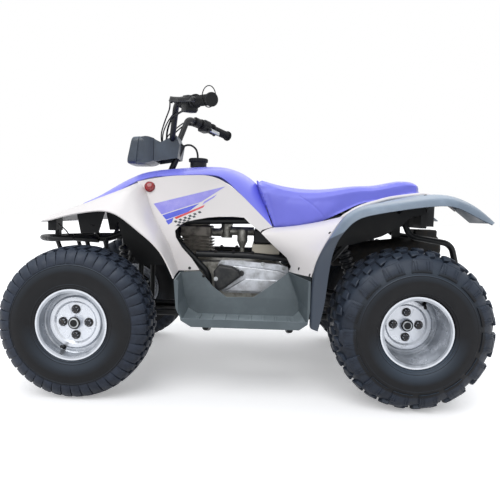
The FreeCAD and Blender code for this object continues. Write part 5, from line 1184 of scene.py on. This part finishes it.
# %% [markdown]
# ## Side stickers
# Printed vinyl film, a tenth of a millimetre thick, is laid on the white sides: slanted wedges and a strip
# of checks. Every patch is a small net between four corners in the film's own plane, dropped straight onto
# the panel, so that it follows the panel's curve.

# %% Sticker film
FILM_ORIGIN, FILM_END = place(372, 0, 614), place(81, 0, 690)
FILM_ALONG = unit(FILM_END - FILM_ORIGIN)
FILM_DOWN = np.cross(FILM_ALONG, (0, 1, 0))
FILM_LIFT, FILM_START = 0.5 * MM, 0.32


def film_patch(corners, along=10, down=5):
    """A net between four corners in millimetres along and down the film, held out beside the bike."""
    c = np.asarray(corners, float) * MM
    p, q = np.linspace(0, 1, along)[:, None, None], np.linspace(0, 1, down)[None, :, None]
    flat = (1 - p) * (1 - q) * c[0] + p * (1 - q) * c[1] + p * q * c[2] + (1 - p) * q * c[3]
    return net(FILM_ORIGIN + flat[..., :1] * FILM_ALONG + flat[..., 1:] * FILM_DOWN + (0, FILM_START, 0))


def sticker(name, patches, finish):
    """Patches dropped onto the left side by a projecting modifier, then mirrored to the right."""
    points, faces = laid_together(patches)
    mesh = bpy.data.meshes.new(name)
    mesh.from_pydata(points.tolist(), [], faces)
    piece = bpy.data.objects.new(name + "_flat", mesh)
    bpy.context.scene.collection.objects.link(piece)
    drop = piece.modifiers.new("drop", "SHRINKWRAP")
    drop.target = nodes["front_fender"]
    drop.wrap_method = "PROJECT"
    drop.use_project_x, drop.use_project_y, drop.use_project_z = False, True, False
    drop.use_negative_direction, drop.use_positive_direction = True, False
    laid = with_modifiers(piece)
    bpy.data.objects.remove(piece)
    spots = points_of(laid) + (0, FILM_LIFT, 0)
    new_piece(name, both_halves([(spots, faces)]), finish, "chassis", recalculate=False)


def film(name, colour, second):
    """Printed film: one ink with a fine screen of the second, under a clear coat."""
    material, tree, shader, where = blank(name)
    dots = add(tree, "TexVoronoi", {"Vector": where, "Scale": 1 / (1.6 * MM)}).outputs["Distance"]
    fade = noise(tree, where, 40, 4)
    share = add(tree, "Math", {0: ranged(tree, fade, 0.4, 0.7), 1: ranged(tree, dots, 0.2, 0.5)},
                operation="MULTIPLY")
    wire(tree, shader, {"Base Color": mixed(tree, share.outputs[0], colour, second), "Roughness": 0.3,
                        "Coat Weight": 0.3})
    finishes[name] = material


film("lilac_printed_vinyl", "#8f8ce6", "#aaa5ee")
film("blue_printed_vinyl", "#4d5ad8", "#6672e6")
film("red_printed_vinyl", "#d9434c", "#e8737a")
film("graphite_printed_vinyl", "#30363c", "#5b636b")

sticker("sticker_lilac", [film_patch([(36, 0), (300, -2), (205, 32), (56, 44)], 30, 8),
                          film_patch([(214, 34), (264, 19), (250, 28), (206, 43)])],
        "lilac_printed_vinyl")
sticker("sticker_blue", [film_patch([(58, 47), (197, 36), (150, 57), (68, 66)], 24, 6),
                         film_patch([(66, 69), (96, 65), (86, 80), (72, 85)], 8, 5)],
        "blue_printed_vinyl")
sticker("sticker_red", [film_patch([(98, 65), (214, 46), (207, 53), (104, 72)], 20, 4)],
        "red_printed_vinyl")
CHECK_ROWS, CHECK_COLUMNS, CHECKS_LOST = 3, 12, 3
CHECK_CORNERS = [(0, 0), (9, -1), (13, 6), (4, 7)]
CHECKS_AT, COLUMN_STEP, ROW_STEP = (94, 77), (9, -1.3), (4, 7)
checks = []
for row in range(CHECK_ROWS):
    for column in range(row % 2, CHECK_COLUMNS - CHECKS_LOST * row, 2):
        across, drop = (start + step * column + skip * row
                        for start, step, skip in zip(CHECKS_AT, COLUMN_STEP, ROW_STEP))
        checks.append(film_patch([(across + x, drop + y) for x, y in CHECK_CORNERS], 3, 3))
sticker("sticker_checks", checks, "graphite_printed_vinyl")
print("stickers:", [name for name in made if name.startswith("sticker")])

# %% [markdown]
# ## Floor, backdrop and light
# A pale floor with white air behind it, lit as in an overcast yard: even light from the sky and two wide
# bright patches of cloud, so that round shapes read. To the eye the floor is a white sheet with a shadow on
# it, but the light that it throws back up is that of grey concrete, which keeps the undersides dark.

# %% Stage and light
FLOOR_SIZE = 60
FLOOR_GLOW = 0.32
SKY_STRENGTH = 0.62


def seen_directly(tree):
    """One where a ray comes straight from the camera or by way of gloss or glass, else nought."""
    paths = add(tree, "LightPath")
    seen = add(tree, "Math", {0: paths.outputs["Is Camera Ray"], 1: paths.outputs["Is Glossy Ray"]},
               operation="MAXIMUM")
    return add(tree, "Math", {0: seen.outputs[0], 1: paths.outputs["Is Transmission Ray"]},
               operation="MAXIMUM").outputs[0]


def floor_paint():
    """Grey concrete for the light that bounces off it, and a white sheet with the shadow for the eye."""
    material, tree, shader, where = blank("pale_painted_concrete")
    mottle = noise(tree, where, 300, 4)
    shader.inputs["Roughness"].default_value = 0.9
    seen = seen_directly(tree)
    ground = mixed(tree, mottle, "#9c9c9e", "#929294")
    tree.links.new(mixed(tree, seen, ground, "#f4f4f5"), shader.inputs["Base Color"])
    shader.inputs["Emission Color"].default_value = linear("#ffffff")
    glow = add(tree, "Math", {0: seen, 1: FLOOR_GLOW}, operation="MULTIPLY")
    tree.links.new(glow.outputs[0], shader.inputs["Emission Strength"])
    return material


edge = np.linspace(-FLOOR_SIZE / 2, FLOOR_SIZE / 2, 3)
floor_points, floor_faces = net(np.stack(np.meshgrid(edge, edge) + [np.zeros((3, 3))], -1))
floor_mesh = bpy.data.meshes.new("floor")
floor_mesh.from_pydata(floor_points.tolist(), [], floor_faces)
floor_mesh.materials.append(floor_paint())
floor = bpy.data.objects.new("floor", floor_mesh)
bpy.context.scene.collection.objects.link(floor)

world = bpy.data.worlds.new("overcast")
world.use_nodes = True
bpy.context.scene.world = world
sky = world.node_tree
background = sky.nodes["Background"]
background.inputs["Color"].default_value = linear("#f2f5fa")
background.inputs["Strength"].default_value = SKY_STRENGTH
white_air = add(sky, "Background", {"Color": linear("#ffffff"), "Strength": 1.0})
both = add(sky, "MixShader", {0: seen_directly(sky), 1: background.outputs[0], 2: white_air.outputs[0]})
sky.links.new(both.outputs[0], sky.nodes["World Output"].inputs["Surface"])


def soft_sun(name, way_to_it, strength, width_degrees):
    """Even light from one side, spread as wide as a bright patch of cloud."""
    data = bpy.data.lights.new(name, "SUN")
    data.energy = strength
    data.angle = math.radians(width_degrees)
    lamp = bpy.data.objects.new(name, data)
    bpy.context.scene.collection.objects.link(lamp)
    lamp.rotation_euler = Vector(way_to_it).to_track_quat("Z", "Y").to_euler()


soft_sun("cloud_over_left", (0.35, 1.0, 1.2), 1.75, 50)
soft_sun("cloud_over_right", (-0.35, -0.9, 1.3), 0.9, 60)
bpy.context.scene.view_settings.view_transform = "Standard"
